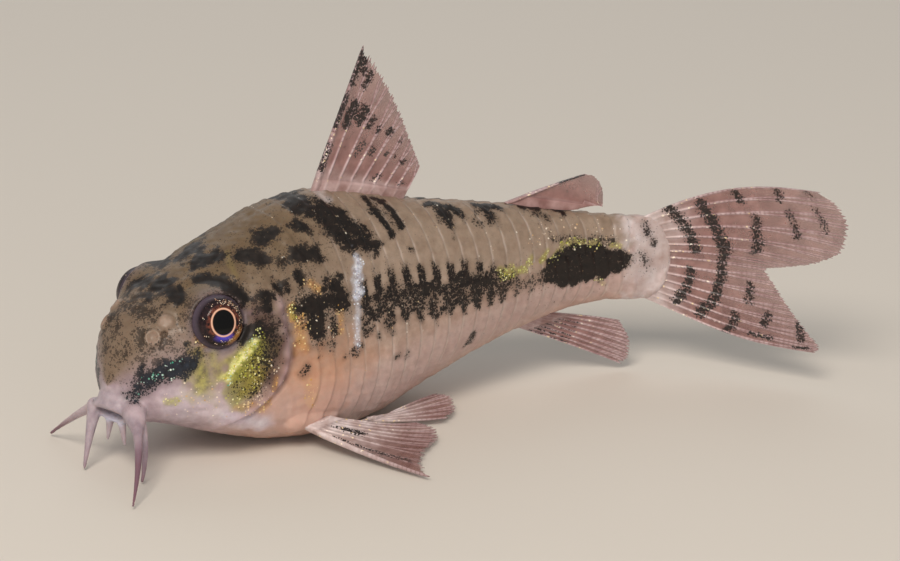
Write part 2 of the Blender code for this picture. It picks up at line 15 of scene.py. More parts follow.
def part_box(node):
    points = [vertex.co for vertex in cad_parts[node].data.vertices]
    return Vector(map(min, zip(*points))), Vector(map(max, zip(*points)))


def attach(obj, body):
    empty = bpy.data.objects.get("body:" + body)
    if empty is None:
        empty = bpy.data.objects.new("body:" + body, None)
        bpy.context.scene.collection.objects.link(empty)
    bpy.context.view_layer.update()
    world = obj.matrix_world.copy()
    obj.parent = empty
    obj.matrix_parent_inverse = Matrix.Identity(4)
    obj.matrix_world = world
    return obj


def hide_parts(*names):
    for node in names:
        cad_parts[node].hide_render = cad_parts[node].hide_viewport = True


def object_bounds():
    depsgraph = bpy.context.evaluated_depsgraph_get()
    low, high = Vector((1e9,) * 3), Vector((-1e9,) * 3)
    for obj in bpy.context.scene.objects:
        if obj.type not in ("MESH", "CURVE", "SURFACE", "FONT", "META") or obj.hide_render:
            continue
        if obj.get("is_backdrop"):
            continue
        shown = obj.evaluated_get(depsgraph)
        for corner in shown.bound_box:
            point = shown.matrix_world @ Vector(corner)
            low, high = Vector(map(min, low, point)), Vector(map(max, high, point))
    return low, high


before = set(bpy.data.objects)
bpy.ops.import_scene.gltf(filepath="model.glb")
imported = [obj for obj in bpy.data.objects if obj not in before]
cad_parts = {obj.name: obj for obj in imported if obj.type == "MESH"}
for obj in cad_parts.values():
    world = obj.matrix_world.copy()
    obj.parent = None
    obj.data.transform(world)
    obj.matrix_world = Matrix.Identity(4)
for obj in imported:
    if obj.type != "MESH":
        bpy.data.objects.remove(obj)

CAD_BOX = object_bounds()

# Body, head and feelers. The real ones are soft wet skin over two rows of bony plates on each side,
# a naked snout and six fleshy feelers. The model's are one cast resin skin with nothing joined on,
# painted by hand under a clear varnish.
BODY = 33.0
HEADINGS = (
    (0.00, 22.0), (0.28, 8.0), (0.55, 0.0), (0.80, -3.0), (1.00, -26.0), (1.15, -50.5), (1.45, -63.0),
)

# Station, back, belly, half width, height of the widest point, fullness of the back and of the belly.
SECTIONS = (
    (0.034, 0.186, 0.082, 0.034, 0.136, 2.2, 2.2),
    (0.06, 0.216, 0.076, 0.062, 0.138, 2.3, 2.3),
    (0.09, 0.241, 0.068, 0.084, 0.139, 2.4, 2.4),
    (0.13, 0.266, 0.057, 0.106, 0.139, 2.5, 2.5),
    (0.18, 0.291, 0.038, 0.124, 0.137, 2.4, 2.6),
    (0.22, 0.310, 0.024, 0.133, 0.135, 2.3, 2.7),
    (0.28, 0.337, 0.007, 0.142, 0.131, 2.1, 2.8),
    (0.35, 0.365, -0.004, 0.146, 0.130, 2.0, 2.8),
    (0.42, 0.376, -0.006, 0.142, 0.134, 1.9, 2.8),
    (0.50, 0.363, 0.002, 0.128, 0.144, 1.9, 2.6),
    (0.60, 0.337, 0.034, 0.106, 0.163, 2.0, 2.3),
    (0.70, 0.318, 0.068, 0.082, 0.178, 2.1, 2.2),
    (0.80, 0.298, 0.098, 0.060, 0.189, 2.2, 2.2),
    (0.90, 0.276, 0.119, 0.041, 0.195, 2.2, 2.2),
    (0.96, 0.267, 0.124, 0.031, 0.195, 2.2, 2.2),
    (1.00, 0.265, 0.122, 0.023, 0.195, 2.2, 2.2),
    (1.02, 0.263, 0.124, 0.0165, 0.195, 2.0, 2.0),
    (1.035, 0.253, 0.135, 0.0110, 0.195, 2.0, 2.0),
    (1.047, 0.236, 0.153, 0.0065, 0.195, 2.0, 2.0),
    (1.055, 0.212, 0.178, 0.0032, 0.195, 2.0, 2.0),
)
SNOUT, SNOUT_ROUNDING, STERN = 0.034, 0.056, 1.055
LEANS = (
    (0.00, 0.000, 0.000), (0.10, 0.000, 0.000), (0.30, 0.035, 0.110),
    (0.46, 0.030, 0.050), (0.90, 0.014, 0.020), (1.00, 0.000, 0.000),
)


def smooth(xs, ys):
    """A curve through the points that never overshoots them."""
    xs, ys = np.asarray(xs, float), np.asarray(ys, float)
    step = np.diff(xs)
    slope = np.diff(ys) / step
    tangent = np.concatenate(([slope[0]], np.zeros(len(xs) - 2), [slope[-1]]))
    for i in range(1, len(xs) - 1):
        if slope[i - 1] * slope[i] > 0:
            tangent[i] = 2 * slope[i - 1] * slope[i] / (slope[i - 1] + slope[i])

    def value(x):
        x = np.clip(np.asarray(x, float), xs[0], xs[-1])
        i = np.clip(np.searchsorted(xs, x, side="right") - 1, 0, len(step) - 1)
        u = (x - xs[i]) / step[i]
        rise = ys[i] * (1 + 2 * u) * (1 - u) ** 2 + ys[i + 1] * u * u * (3 - 2 * u)
        return rise + step[i] * u * (1 - u) * (tangent[i] * (1 - u) - tangent[i + 1] * u)

    return value


def columns_of(table):
    rows = list(zip(*table))
    return [smooth(rows[0], row) for row in rows[1:]]


BACK, BELLY, HALF, WIDEST, UPPER, LOWER = columns_of(SECTIONS)
LEAN_BACK, LEAN_BELLY = columns_of(LEANS)
(HEADING,) = columns_of(HEADINGS)
LINE = np.linspace(-0.1, 1.45, 776)
LINE_ANGLE = np.radians(HEADING(LINE))


def along(component):
    """The centre line's x or y at each station of LINE, from its direction."""
    return np.concatenate(([0.0], np.cumsum((component[1:] + component[:-1]) / 2 * np.diff(LINE) * BODY)))


LINE_X, LINE_Y = along(np.cos(LINE_ANGLE)), along(np.sin(LINE_ANGLE))


def place(station, side, height):
    """The point at a station of the bent fish, side mm to its left and height mm up."""
    angle = np.interp(station, LINE, LINE_ANGLE)
    x = np.interp(station, LINE, LINE_X) + side * np.sin(angle)
    y = np.interp(station, LINE, LINE_Y) - side * np.cos(angle)
    return np.stack(np.broadcast_arrays(x, y, height), axis=-1)


def ring_to_station(ring, turn):
    """Plates and ribs lean forward on the back and on the belly."""
    cos = np.cos(turn)
    return ring - np.where(cos > 0, LEAN_BACK(ring), LEAN_BELLY(ring)) * cos**2


def hide(ring, turn, lift=0.0):
    """The body's surface at a leaning ring: turn is 0 on the back and a half turn on the belly."""
    station = ring_to_station(ring, turn)
    cos, sin = np.cos(turn), np.sin(turn)
    full = np.where(cos > 0, UPPER(station), LOWER(station))
    reach = (np.abs(cos) ** full + np.abs(sin) ** full) ** (-1 / full)
    nose = np.clip((station - SNOUT) / SNOUT_ROUNDING, 0, 1)
    swell = np.sqrt(1 - (1 - nose) ** 2) * BODY
    wide = swell * HALF(station)
    tall = swell * np.where(cos > 0, BACK(station) - WIDEST(station), WIDEST(station) - BELLY(station))
    out_side, out_up = sin * tall, cos * wide
    size = np.maximum(np.hypot(out_side, out_up), 1e-9)
    side = wide * reach * sin + lift * out_side / size
    height = WIDEST(station) * BODY + tall * reach * cos + lift * out_up / size
    return place(station, side, np.maximum(height, 0.0))


def flank(station, height):
    depth = (WIDEST(station) - height) / (WIDEST(station) - BELLY(station))
    return HALF(station) * max(1 - depth ** LOWER(station), 0) ** (1 / LOWER(station))


EYE_STATION, EYE_SIDE, EYE_HEIGHT = 0.182, 0.0905, 0.229
EYE_BALL = 1.44


def eye_centre(hand):
    return place(EYE_STATION, hand * EYE_SIDE * BODY, EYE_HEIGHT * BODY)


# The frame's place of the same eye says how far the fish is moved from its own line.
EYE_BOX = np.array(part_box("eye_left"))
SHIFT = EYE_BOX.mean(axis=0) * 1000 - eye_centre(1)


def shape(name, points, faces, fields=None):
    """A smooth mesh in metres from points in millimetres, with named values for each point."""
    mesh = bpy.data.meshes.new(name)
    mesh.from_pydata((points + SHIFT) / 1000, [], faces)
    mesh.validate()
    mesh.shade_smooth()
    for field, values in (fields or {}).items():
        mesh.attributes.new(field, "FLOAT", "POINT").data.foreach_set("value", values.astype(np.float32))
    item = bpy.data.objects.new(name, mesh)
    bpy.context.scene.collection.objects.link(item)
    return item


def loft(rings, start, end):
    """A closed skin of quads through rings of points, each end fanned to a point."""
    count = rings.shape[1]
    points = np.concatenate([rings.reshape(-1, 3), [start, end]])
    first, last = len(points) - 2, len(points) - 1
    foot = (len(rings) - 1) * count
    faces = []
    for i in range(count):
        j = (i + 1) % count
        faces += [(first, j, i), (last, foot + i, foot + j)]
        for low in range(0, foot, count):
            faces.append((low + i, low + j, low + count + j, low + count + i))
    return points, faces


def feeler(path, radii, sides=20):
    """A closed tapering tube round a path, rounded at both ends."""
    path, radii = np.asarray(path, float), np.asarray(radii, float)
    ahead = np.gradient(path, axis=0)
    ahead /= np.linalg.norm(ahead, axis=1)[:, None]
    cap = np.linspace(0, math.pi / 2, 6)[:-1]
    before = [(path[0] - ahead[0] * radii[0] * math.cos(a), radii[0] * math.sin(a), ahead[0]) for a in cap[1:]]
    after = [(path[-1] + ahead[-1] * radii[-1] * math.cos(a), radii[-1] * math.sin(a), ahead[-1]) for a in cap[:0:-1]]
    stops = before + list(zip(path, radii, ahead)) + after
    turns = np.arange(sides) * 2 * math.pi / sides
    across = np.cross(stops[0][2], (0.3, 0.5, 0.81))
    rings = []
    for centre, radius, way in stops:
        across = across - way * np.dot(across, way)
        across /= np.linalg.norm(across)
        other = np.cross(way, across)
        rings.append(centre + radius * (np.cos(turns)[:, None] * across + np.sin(turns)[:, None] * other))
    return loft(np.array(rings), path[0] - ahead[0] * radii[0], path[-1] + ahead[-1] * radii[-1])


MOUTH_STATION, MOUTH_HEIGHT, MOUTH_TILT = 0.045, 3.1, math.radians(30)
MOUTH_HALF = 1.15
LIP_OUT = 0.12
UPPER_LIP, LOWER_LIP = 0.50, -0.46
MOUTH_WIDE, MOUTH_MIDDLE, MOUTH_TALL = 0.90, 0.02, 0.36
CORNER_SIDE, CORNER_UP, CORNER_OUT = 1.32, 0.05, 0.10


def mouth_point(across, up, out):
    """A point of the mouth's own plane, which faces forward and down: up runs forward to the upper lip."""
    back = -up * math.sin(MOUTH_TILT) - out * math.cos(MOUTH_TILT)
    height = MOUTH_HEIGHT + up * math.cos(MOUTH_TILT) - out * math.sin(MOUTH_TILT)
    return place(MOUTH_STATION + back / BODY, across, height)


def egg(middle, sizes, frame_of=mouth_point):
    """A closed ellipsoid drawn in the mouth's own plane."""
    lap = np.arange(32) * 2 * math.pi / 32
    rings = []
    for tilt in np.linspace(0, math.pi, 18)[1:-1]:
        a = middle[0] + sizes[0] * math.sin(tilt) * np.cos(lap)
        u = middle[1] + sizes[1] * math.sin(tilt) * np.sin(lap)
        o = np.full_like(lap, middle[2] + sizes[2] * math.cos(tilt))
        rings.append(frame_of(a, u, o))
    ends = [frame_of(middle[0], middle[1], middle[2] + sizes[2] * way) for way in (1, -1)]
    return loft(np.array(rings), *ends)


BODY_RINGS, BODY_COLUMNS = 280, 150


def body_parts():
    """Every closed form of the fish's skin, before they are fused."""
    laps = np.arange(BODY_COLUMNS) * 2 * math.pi / BODY_COLUMNS
    bow = np.linspace(0, math.pi / 2, 24)[1:]
    stations = np.concatenate([SNOUT + SNOUT_ROUNDING * (1 - np.cos(bow)),
                               np.linspace(SNOUT + SNOUT_ROUNDING, STERN, BODY_RINGS)[1:]])
    rings = np.array([hide(station, laps) for station in stations])
    yield loft(rings, place(SNOUT, 0.0, WIDEST(SNOUT) * BODY), rings[-1].mean(axis=0))

    yield egg((0, 0.16, -0.62), (1.25, 0.96, 1.00))
    sweep = np.linspace(-math.pi / 2, math.pi / 2, 25)
    for bulge, thick in ((UPPER_LIP, 0.24), (LOWER_LIP, 0.22)):
        arc = mouth_point(MOUTH_HALF * np.sin(sweep), bulge * np.cos(sweep), LIP_OUT)
        yield feeler(arc, thick * (0.55 + 0.45 * np.cos(sweep)))

    # Each corner of the mouth is a fleshy cone that a long and a short feeler grow out of. Tips are station and
    # side in shares of the body's length; then how far the middle is drawn up, and both are drawn to the rear.
    run = np.linspace(0, 1, 40)
    t = run[:, None]
    for hand, base, feelers in (
        (1, 1.22, (((-0.075, 0.145), 0.30, 0.26, 0.24, NEAR_FEELER), ((0.015, 0.080), 0.1, 0.30, 0.22, SHORT_FEELER))),
        (-1, 1.22, (((0.070, -0.175), 0.10, 0.0, 0.0, FAR_FEELER), ((0.004, -0.024), 0.1, 0.0, 0.0, FAR_SHORT_FEELER))),
    ):
        knob = mouth_point(hand * base, CORNER_UP, CORNER_OUT) + (hand > 0) * (0.22 * REARWARD + (0.10, 0.08, 0.16))
        for tip, draw_up, draw_middle, draw_tip, thick in feelers:
            end = place(tip[0], tip[1] * BODY, 0.20) + draw_tip * REARWARD
            middle = (knob + end) / 2 + (0, 0, draw_up) + draw_middle * REARWARD
            pull = 2 * middle - (knob + end) / 2
            yield feeler((1 - t) ** 2 * knob + 2 * t * (1 - t) * pull + t**2 * end, thick(run))
        chin = np.array([mouth_point(hand * (0.42 + 0.2 * k), LOWER_LIP - 0.1 - 1.0 * k, 0.12 + 0.6 * k) for k in run])
        yield feeler(chin, 0.25 - 0.17 * run**0.8)

        # The paired fins grow out of fleshy pads on the body's lower side.
        for start, stop, size in (((0.316, 0.052), (0.385, 0.050), 0.74), ((0.462, 0.045), (0.500, 0.036), 0.42)):
            pad = [place(station, hand * (flank(station, height) * BODY - 0.46), height * BODY)
                   for station, height in zip(np.linspace(start[0], stop[0], 12), np.linspace(start[1], stop[1], 12))]
            yield feeler(pad, size * (1 - 0.25 * np.linspace(0, 1, 12)))


REARWARD = np.array([0.88, -0.47, 0.0])
NEAR_FEELER = smooth((0, 0.10, 0.21, 0.31, 0.6, 1.0), (0.64, 0.54, 0.37, 0.25, 0.17, 0.06))
FAR_FEELER = smooth((0, 0.12, 0.3, 0.6, 1.0), (0.42, 0.28, 0.22, 0.15, 0.07))
FAR_SHORT_FEELER = smooth((0, 0.12, 0.3, 0.6, 1.0), (0.44, 0.37, 0.29, 0.19, 0.08))
SHORT_FEELER = smooth((0, 0.12, 0.3, 0.6, 1.0), (0.50, 0.44, 0.31, 0.19, 0.09))
SKIN_GRAIN = 0.07


def fused(parts, grain):
    """One closed surface round all the forms, as points and quads, drawn with cells of a size in mm."""
    points, faces = [], []
    for more, hooks in parts:
        base = sum(len(p) for p in points)
        points.append(more)
        faces += [tuple(base + i for i in face) for face in hooks]
    mesh = bpy.data.meshes.new("forms")
    mesh.from_pydata(np.concatenate(points), [], faces)
    item = bpy.data.objects.new("forms", mesh)
    bpy.context.scene.collection.objects.link(item)
    remesh = item.modifiers.new("fuse", "REMESH")
    remesh.mode = "VOXEL"
    remesh.voxel_size = grain
    shaped = item.evaluated_get(bpy.context.evaluated_depsgraph_get()).to_mesh()
    found = np.empty(len(shaped.vertices) * 3)
    shaped.vertices.foreach_get("co", found)
    corners = np.empty(len(shaped.loops), int)
    shaped.loops.foreach_get("vertex_index", corners)
    item.to_mesh_clear()
    bpy.data.objects.remove(item)
    return found.reshape(-1, 3), corners.reshape(-1, 4)


def relaxed(points, faces, rounds, pull=0.55, push=-0.57):
    """Takes the steps out of a fused surface without shrinking its thin parts."""
    ends = np.concatenate([faces[:, [i, (i + 1) % 4]] for i in range(4)])
    ends = np.concatenate([ends, ends[:, ::-1]])
    count = np.bincount(ends[:, 0], minlength=len(points))[:, None]
    for step in range(rounds * 2):
        mean = np.stack([np.bincount(ends[:, 0], points[ends[:, 1], i], len(points)) for i in range(3)], 1) / count
        points = points + (mean - points) * (pull if step % 2 == 0 else push)
    return points


def normals_of(points, faces):
    """Each point's outward direction."""
    face = np.cross(points[faces[:, 2]] - points[faces[:, 0]], points[faces[:, 3]] - points[faces[:, 1]])
    total = np.stack([np.bincount(faces.ravel(), np.repeat(face[:, i], 4), len(points)) for i in range(3)], 1)
    return total / np.maximum(np.linalg.norm(total, axis=1), 1e-12)[:, None]


def body_place(points):
    """Ring, turn, side and height of points, found from the nearest stretch of the centre line."""
    station, side = np.empty(len(points)), np.empty(len(points))
    knots = np.stack([LINE_X, LINE_Y], 1)
    for first in range(0, len(points), 20000):
        flat = points[first:first + 20000, :2]
        near = np.argmin(((flat[:, None, ::1] - knots[None, ::4]) ** 2).sum(-1), axis=1) * 4
        for _ in range(3):
            angle = np.interp(LINE[0] + near * (LINE[1] - LINE[0]), LINE, LINE_ANGLE)
            spot = LINE[0] + near * (LINE[1] - LINE[0])
            gap = flat - np.stack([np.interp(spot, LINE, LINE_X), np.interp(spot, LINE, LINE_Y)], 1)
            ahead = gap[:, 0] * np.cos(angle) + gap[:, 1] * np.sin(angle)
            near = np.clip((spot + ahead / BODY - LINE[0]) / (LINE[1] - LINE[0]), 0, len(LINE) - 1)
        station[first:first + 20000] = LINE[0] + near * (LINE[1] - LINE[0])
        side[first:first + 20000] = gap[:, 0] * np.sin(angle) - gap[:, 1] * np.cos(angle)
    inside = np.clip(station, SNOUT + 0.004, 1.0)
    nose = np.clip((inside - SNOUT) / SNOUT_ROUNDING, 0, 1)
    swell = np.sqrt(1 - (1 - nose) ** 2) * BODY
    up = points[:, 2] - WIDEST(inside) * BODY
    tall = swell * np.where(up > 0, BACK(inside) - WIDEST(inside), WIDEST(inside) - BELLY(inside))
    turn = np.arctan2(side / (swell * HALF(inside)), up / tall)
    ring = station.copy()
    cos = np.cos(turn)
    for _ in range(4):
        ring = station + np.where(cos > 0, LEAN_BACK(ring), LEAN_BELLY(ring)) * cos**2
    return ring, turn, side


def ramp(x, low, high):
    """0 below low, 1 above high and an even swell between them."""
    t = np.clip((x - low) / (high - low), 0, 1)
    return t * t * (3 - 2 * t)


def hill(x, width):
    return np.exp(-((x / width) ** 2))


class Ripple:
    """Smooth unevenness from a few dozen waves in every direction, from a fixed seed."""

    def __init__(self, seed, size, waves=28):
        draw = np.random.default_rng(seed)
        ways = draw.normal(size=(waves, 3))
        ways /= np.linalg.norm(ways, axis=1)[:, None]
        self.ways = ways * (2 * math.pi / size * draw.uniform(0.6, 1.6, waves))[:, None]
        self.phase = draw.uniform(0, 2 * math.pi, waves)

    def at(self, points):
        total = np.zeros(len(points))
        for way, phase in zip(self.ways, self.phase):
            total += np.sin(points @ way + phase)
        return total / math.sqrt(len(self.phase) / 2)


# Bony plates: each one's rear edge stands over the next, and the lower row sits half a plate back.
SHOULDER, FIRST_PLATE, LAST_PLATE = 0.335, 0.031, 0.025
PLATE_RISE = 0.075
ROW_SEAM = math.radians(74)


def plate_edges():
    edges = [SHOULDER]
    while edges[-1] < 1.02:
        share = (edges[-1] - SHOULDER) / (1.0 - SHOULDER)
        edges.append(edges[-1] + FIRST_PLATE + (LAST_PLATE - FIRST_PLATE) * share)
    return np.array(edges)


PLATE_EDGES = plate_edges()


def plates(ring, turn):
    """How far each plate has run from its front edge (0) to its rear edge (1), and its length in mm."""
    around = np.abs(turn)
    upper = around < ROW_SEAM
    middle = np.where(upper, math.radians(40), math.radians(112))
    reach = np.where(upper, math.radians(36), math.radians(40))
    bulge = 0.007 * (1 - np.clip((around - middle) / reach, -1, 1) ** 2)
    count = np.interp(ring - bulge, PLATE_EDGES, np.arange(len(PLATE_EDGES))) + np.where(upper, 0, 0.5)
    return count % 1.0, np.interp(ring, (SHOULDER, 1.0), (FIRST_PLATE, LAST_PLATE)) * BODY, count


GILL_TURNS, GILL_RINGS = np.radians((40, 57, 83, 106, 135, 150)), (0.300, 0.308, 0.297, 0.260, 0.212, 0.19)
GILL_RISE = 0.20


def gill_gap(ring, turn):
    """Millimetres from a point back to the gill cover's rear edge: below 0 is behind it."""
    return (np.interp(np.abs(turn), GILL_TURNS, GILL_RINGS) - ring) * BODY


def direction(hand, forward, up):
    """A direction out of the left side (hand 1) or the right side, turned forward and up by degrees."""
    angle = np.interp(EYE_STATION, LINE, LINE_ANGLE)
    out = np.array([math.sin(angle), -math.cos(angle), 0.0]) * hand
    ahead = -np.array([math.cos(angle), math.sin(angle), 0.0])
    forward, up = math.radians(forward), math.radians(up)
    flat = out * math.cos(forward) + ahead * math.sin(forward)
    return flat * math.cos(up) + np.array([0, 0, math.sin(up)])


EYE_FORWARD, EYE_UP = 16, 14
ORBIT, LID_HEIGHT, BROW_WIDTH = 1.38, 0.40, 0.70

# Nostrils: ring and turn of the front one, a tube, and of the rear one, a flap behind it.
NOSTRIL = (0.082, math.radians(41))
REAR_NOSTRIL = (0.106, math.radians(36))


def carve(points, faces):
    """Presses plates, gill covers, sockets, nostrils and the mouth into the fused skin."""
    ring, turn, side = body_place(points)
    out = normals_of(points, faces)
    around = np.abs(turn)
    on_body = ramp(ring, 0.055, 0.075)

    run, length, _ = plates(ring, turn)
    armoured = ramp(ring, SHOULDER - 0.01, SHOULDER + 0.02) * (1 - ramp(ring, 0.985, 1.01))
    armoured *= ramp(points[:, 2], 0.5, 1.6) * (1 - ramp(around, 2.5, 2.75))
    lift = PLATE_RISE * armoured * (run**1.4 * (1 - ramp(run * length, length - 0.13, length)) - 0.3)
    seam = (around - ROW_SEAM) * 4.2
    lift -= 0.035 * armoured * hill(seam, 0.13)
    lift -= 0.05 * armoured * hill(turn * 4.0, 0.16)

    gap = gill_gap(ring, turn)
    cover = ramp(around, 0.60, 0.95) * (1 - ramp(around, 2.3, 2.6)) * on_body
    lift += GILL_RISE * cover * np.where(gap > 0, np.exp(-np.maximum(gap, 0) / 1.5), 0) * ramp(gap, -0.08, 0.26)
    lift -= 0.06 * cover * hill(gap + 0.22, 0.16)
    lift += 0.014 * Ripple(3, 1.6).at(points) * on_body * (1 - armoured)
    lift += 0.010 * Ripple(4, 0.6).at(points) * on_body
    points = points + out * lift[:, None]

    for hand in (1, -1):
        axis = direction(hand, EYE_FORWARD, EYE_UP)
        from_eye = points - eye_centre(hand)
        level = from_eye @ axis
        off = np.linalg.norm(from_eye - level[:, None] * axis, axis=1)
        front = (level > -0.9) & (off < ORBIT + BROW_WIDTH)
        lid = LID_HEIGHT + 0.10 * hill(off - ORBIT - 0.16, 0.15)
        pull = 1 - ramp(off, ORBIT + 0.08, ORBIT + BROW_WIDTH)
        target = level + (lid - level) * pull
        sunk = 0.15
        target = np.where(off < ORBIT, sunk + (target - sunk) * ramp(off, ORBIT - 0.14, ORBIT + 0.03), target)
        points = points + axis * np.where(front, target - level, 0.0)[:, None]

        spot, rear = hide(*NOSTRIL[:1], hand * NOSTRIL[1]), hide(REAR_NOSTRIL[0], hand * REAR_NOSTRIL[1])
        apart = np.linalg.norm(points - spot, axis=1)
        points = points + out * (0.15 * hill(apart - 0.34, 0.11) - 0.06 * (1 - ramp(apart, 0.05, 0.30)))[:, None]
        apart = np.linalg.norm(points - rear, axis=1)
        points = points + out * (0.11 * (1 - ramp(apart, 0.25, 0.52)))[:, None]
        between = hide(0.096, hand * math.radians(44))
        apart = np.linalg.norm(points - between, axis=1)
        points = points - out * (0.26 * (1 - ramp(apart, 0.04, 0.22)))[:, None]

    across, up, deep = mouth_axes(points)
    inside = 1 - (across / MOUTH_WIDE) ** 2 - ((up - MOUTH_MIDDLE) / MOUTH_TALL) ** 2
    facing = (deep > -0.35) & (inside > 0)
    sink = np.where(facing, (LIP_OUT - 0.62 * np.sqrt(np.maximum(inside, 0)) - deep) * ramp(inside, 0, 0.12), 0)
    points = points + MOUTH_OUT * np.minimum(sink, 0)[:, None]
    points[:, 2] = np.maximum(points[:, 2], 0.0)
    return points


MOUTH_ORIGIN = mouth_point(0.0, 0.0, 0.0)
MOUTH_ACROSS = mouth_point(1.0, 0.0, 0.0) - MOUTH_ORIGIN
MOUTH_UP = mouth_point(0.0, 1.0, 0.0) - MOUTH_ORIGIN
MOUTH_OUT = mouth_point(0.0, 0.0, 1.0) - MOUTH_ORIGIN


def mouth_axes(points):
    """Points in the mouth's own plane: across, up and out of it."""
    gap = points - MOUTH_ORIGIN
    return gap @ MOUTH_ACROSS, gap @ MOUTH_UP, gap @ MOUTH_OUT


skin_points, skin_faces = fused(body_parts(), SKIN_GRAIN)
skin_points = relaxed(skin_points, skin_faces, 4)
# The flesh runs smoothly from the cheeks into the corners of the mouth and from the belly into the fins' pads.
blended = relaxed(skin_points, skin_faces, 26, push=-0.50)
hollow = np.zeros(len(skin_points))
for hand in (1, -1):
    for centre, room in ((mouth_point(hand * 1.25, 0.45, 0.0), 1.15), (place(0.345, hand * 4.2, 1.7), 1.5),
                         (place(0.475, hand * 3.4, 1.3), 1.1)):
        hollow = np.maximum(hollow, 1 - ramp(np.linalg.norm(skin_points - centre, axis=1), room * 0.6, room))
skin_points = skin_points + (blended - skin_points) * hollow[:, None]
skin_points = carve(skin_points, skin_faces)
skin_points = relaxed(skin_points, skin_faces, 1)
skin_points[:, 2] = np.maximum(skin_points[:, 2], 0.0)
print("skin", len(skin_points), "points")


# Painted marks, each drawn as a brush stroke: half width in mm, strength, and its stops as ring and turn
# in degrees on the left side. The right side has the same ones, the dark marks each a little out of place.
DARK = (
    (0.26, 1.00, ((0.222, -11), (0.258, -2))), (0.47, 1.00, ((0.233, 11), (0.258, 14))),
    (0.42, 1.00, ((0.205, 24), (0.222, 33))), (0.47, 1.00, ((0.220, 34), (0.236, 43))),
    (0.32, 0.95, ((0.236, 43), (0.244, 48))), (0.18, 0.90, ((0.138, -30), (0.152, -18))),
    (0.31, 1.00, ((0.141, 2), (0.163, 4))), (0.22, 0.70, ((0.122, 2), (0.115, 4))),
    (0.36, 1.00, ((0.146, 16), (0.144, 26))), (0.22, 0.60, ((0.122, 23), (0.135, 23))),
    (0.45, 1.00, ((0.287, 25), (0.311, 33))), (0.45, 1.00, ((0.331, 22), (0.347, 23))),
    (0.36, 0.50, ((0.334, 40), (0.347, 42))), (0.30, 0.90, ((0.277, 51), (0.292, 53))),
    (0.33, 0.90, ((0.279, 53), (0.277, 57))), (0.31, 0.75, ((0.308, 50), (0.324, 53))),
    (0.20, 0.90, ((0.348, 48), (0.349, 52))), (0.42, 1.00, ((0.366, 40), (0.392, 43))),
    (0.33, 1.00, ((0.392, 25), (0.400, 28))),
    (0.52, 1.00, ((0.418, 1), (0.431, 18), (0.447, 33), (0.463, 40))),
    (0.60, 1.00, ((0.447, 19), (0.470, 30), (0.494, 41))), (0.34, 1.00, ((0.473, 23), (0.479, 33))),
    (0.36, 0.95, ((0.465, 42), (0.512, 44))), (0.30, 1.00, ((0.407, 8), (0.410, 17))),
    (0.20, 0.60, ((0.447, 44), (0.471, 48))),
    (0.24, 1.00, ((0.537, 10), (0.539, 24), (0.550, 38))), (0.24, 1.00, ((0.562, 13), (0.572, 21), (0.573, 34))),
    (0.20, 0.90, ((0.547, 10), (0.571, 12))), (0.30, 1.00, ((0.651, 10), (0.693, 18))),
    (0.36, 1.00, ((0.663, 19), (0.665, 34))), (0.26, 0.80, ((0.687, 20), (0.693, 27))),
    (0.28, 1.00, ((0.732, 11), (0.773, 13))), (0.36, 0.95, ((0.742, 20), (0.746, 28))),
    (0.22, 0.50, ((0.712, 34), (0.723, 36))), (0.24, 1.00, ((0.827, -10), (0.854, -10))),
    (0.29, 0.95, ((0.865, 0), (0.884, 12))), (0.26, 0.60, ((0.831, 20), (0.848, 28))),
    (0.26, 0.45, ((0.848, 55), (0.958, 60))),
    (0.95, 0.55, ((0.348, 64), (0.374, 69))), (0.70, 0.55, ((0.398, 61), (0.416, 67))),
    (0.55, 0.40, ((0.546, 14), (0.562, 32))), (0.45, 1.00, ((0.345, 62), (0.378, 64))), (0.45, 1.00, ((0.407, 59), (0.417, 65))),
    (0.50, 1.00, ((0.360, 67), (0.357, 75))), (0.38, 1.00, ((0.395, 64), (0.421, 67))),
    (0.27, 0.90, ((0.331, 63), (0.337, 65))), (0.27, 0.75, ((0.390, 71), (0.388, 76))),
    (0.22, 0.70, ((0.394, 56), (0.385, 59))), (0.20, 0.70, ((0.420, 55), (0.424, 56))),
    (0.26, 0.45, ((0.340, 79), (0.384, 81))), (0.26, 0.70, ((0.321, 89), (0.327, 87))),
    (0.30, 0.75, ((0.422, 86), (0.437, 85))), (0.26, 0.85, ((0.449, 81), (0.458, 80))),
    (0.20, 0.80, ((0.452, 77), (0.455, 78))), (0.24, 0.80, ((0.494, 79), (0.500, 83))),
    (0.18, 0.70, ((0.514, 100), (0.520, 99))), (0.18, 0.60, ((0.535, 104), (0.540, 101))),
    (0.20, 0.80, ((0.679, 124), (0.686, 119))), (0.14, 0.70, ((0.572, 48), (0.576, 49))),
    (0.50, 1.00, ((0.214, 65), (0.246, 66))), (0.34, 0.45, ((0.265, 64), (0.263, 72))),
    (0.26, 0.60, ((1.012, 36), (1.018, 52))), (0.18, 0.55, ((1.024, 58), (1.030, 66))),
    (0.30, 0.45, ((1.008, 84), (1.016, 94))),
    (0.40, 0.30, ((0.097, -16), (0.089, 5))), (0.35, 0.30, ((0.083, -34), (0.072, -13))),
    (0.35, 0.20, ((0.076, 39), (0.083, 51))), (0.30, 0.24, ((0.072, -47), (0.054, -33))),
    (0.35, 0.22, ((0.078, 18), (0.079, 31))),
)
CHEEK = (
    (0.50, 0.90, ((0.052, 108), (0.054, 96), (0.064, 83))), (0.50, 1.00, ((0.064, 81), (0.081, 75), (0.118, 73))),
    (0.30, 0.90, ((0.075, 76), (0.096, 75))),
)
LIME = ((0.62, 0.9, ((0.134, 77), (0.136, 92))), (0.35, 0.6, ((0.155, 73), (0.160, 84))))
STREAK = ((0.19, 1.0, ((0.237, 71), (0.212, 76), (0.190, 81), (0.177, 86))),)
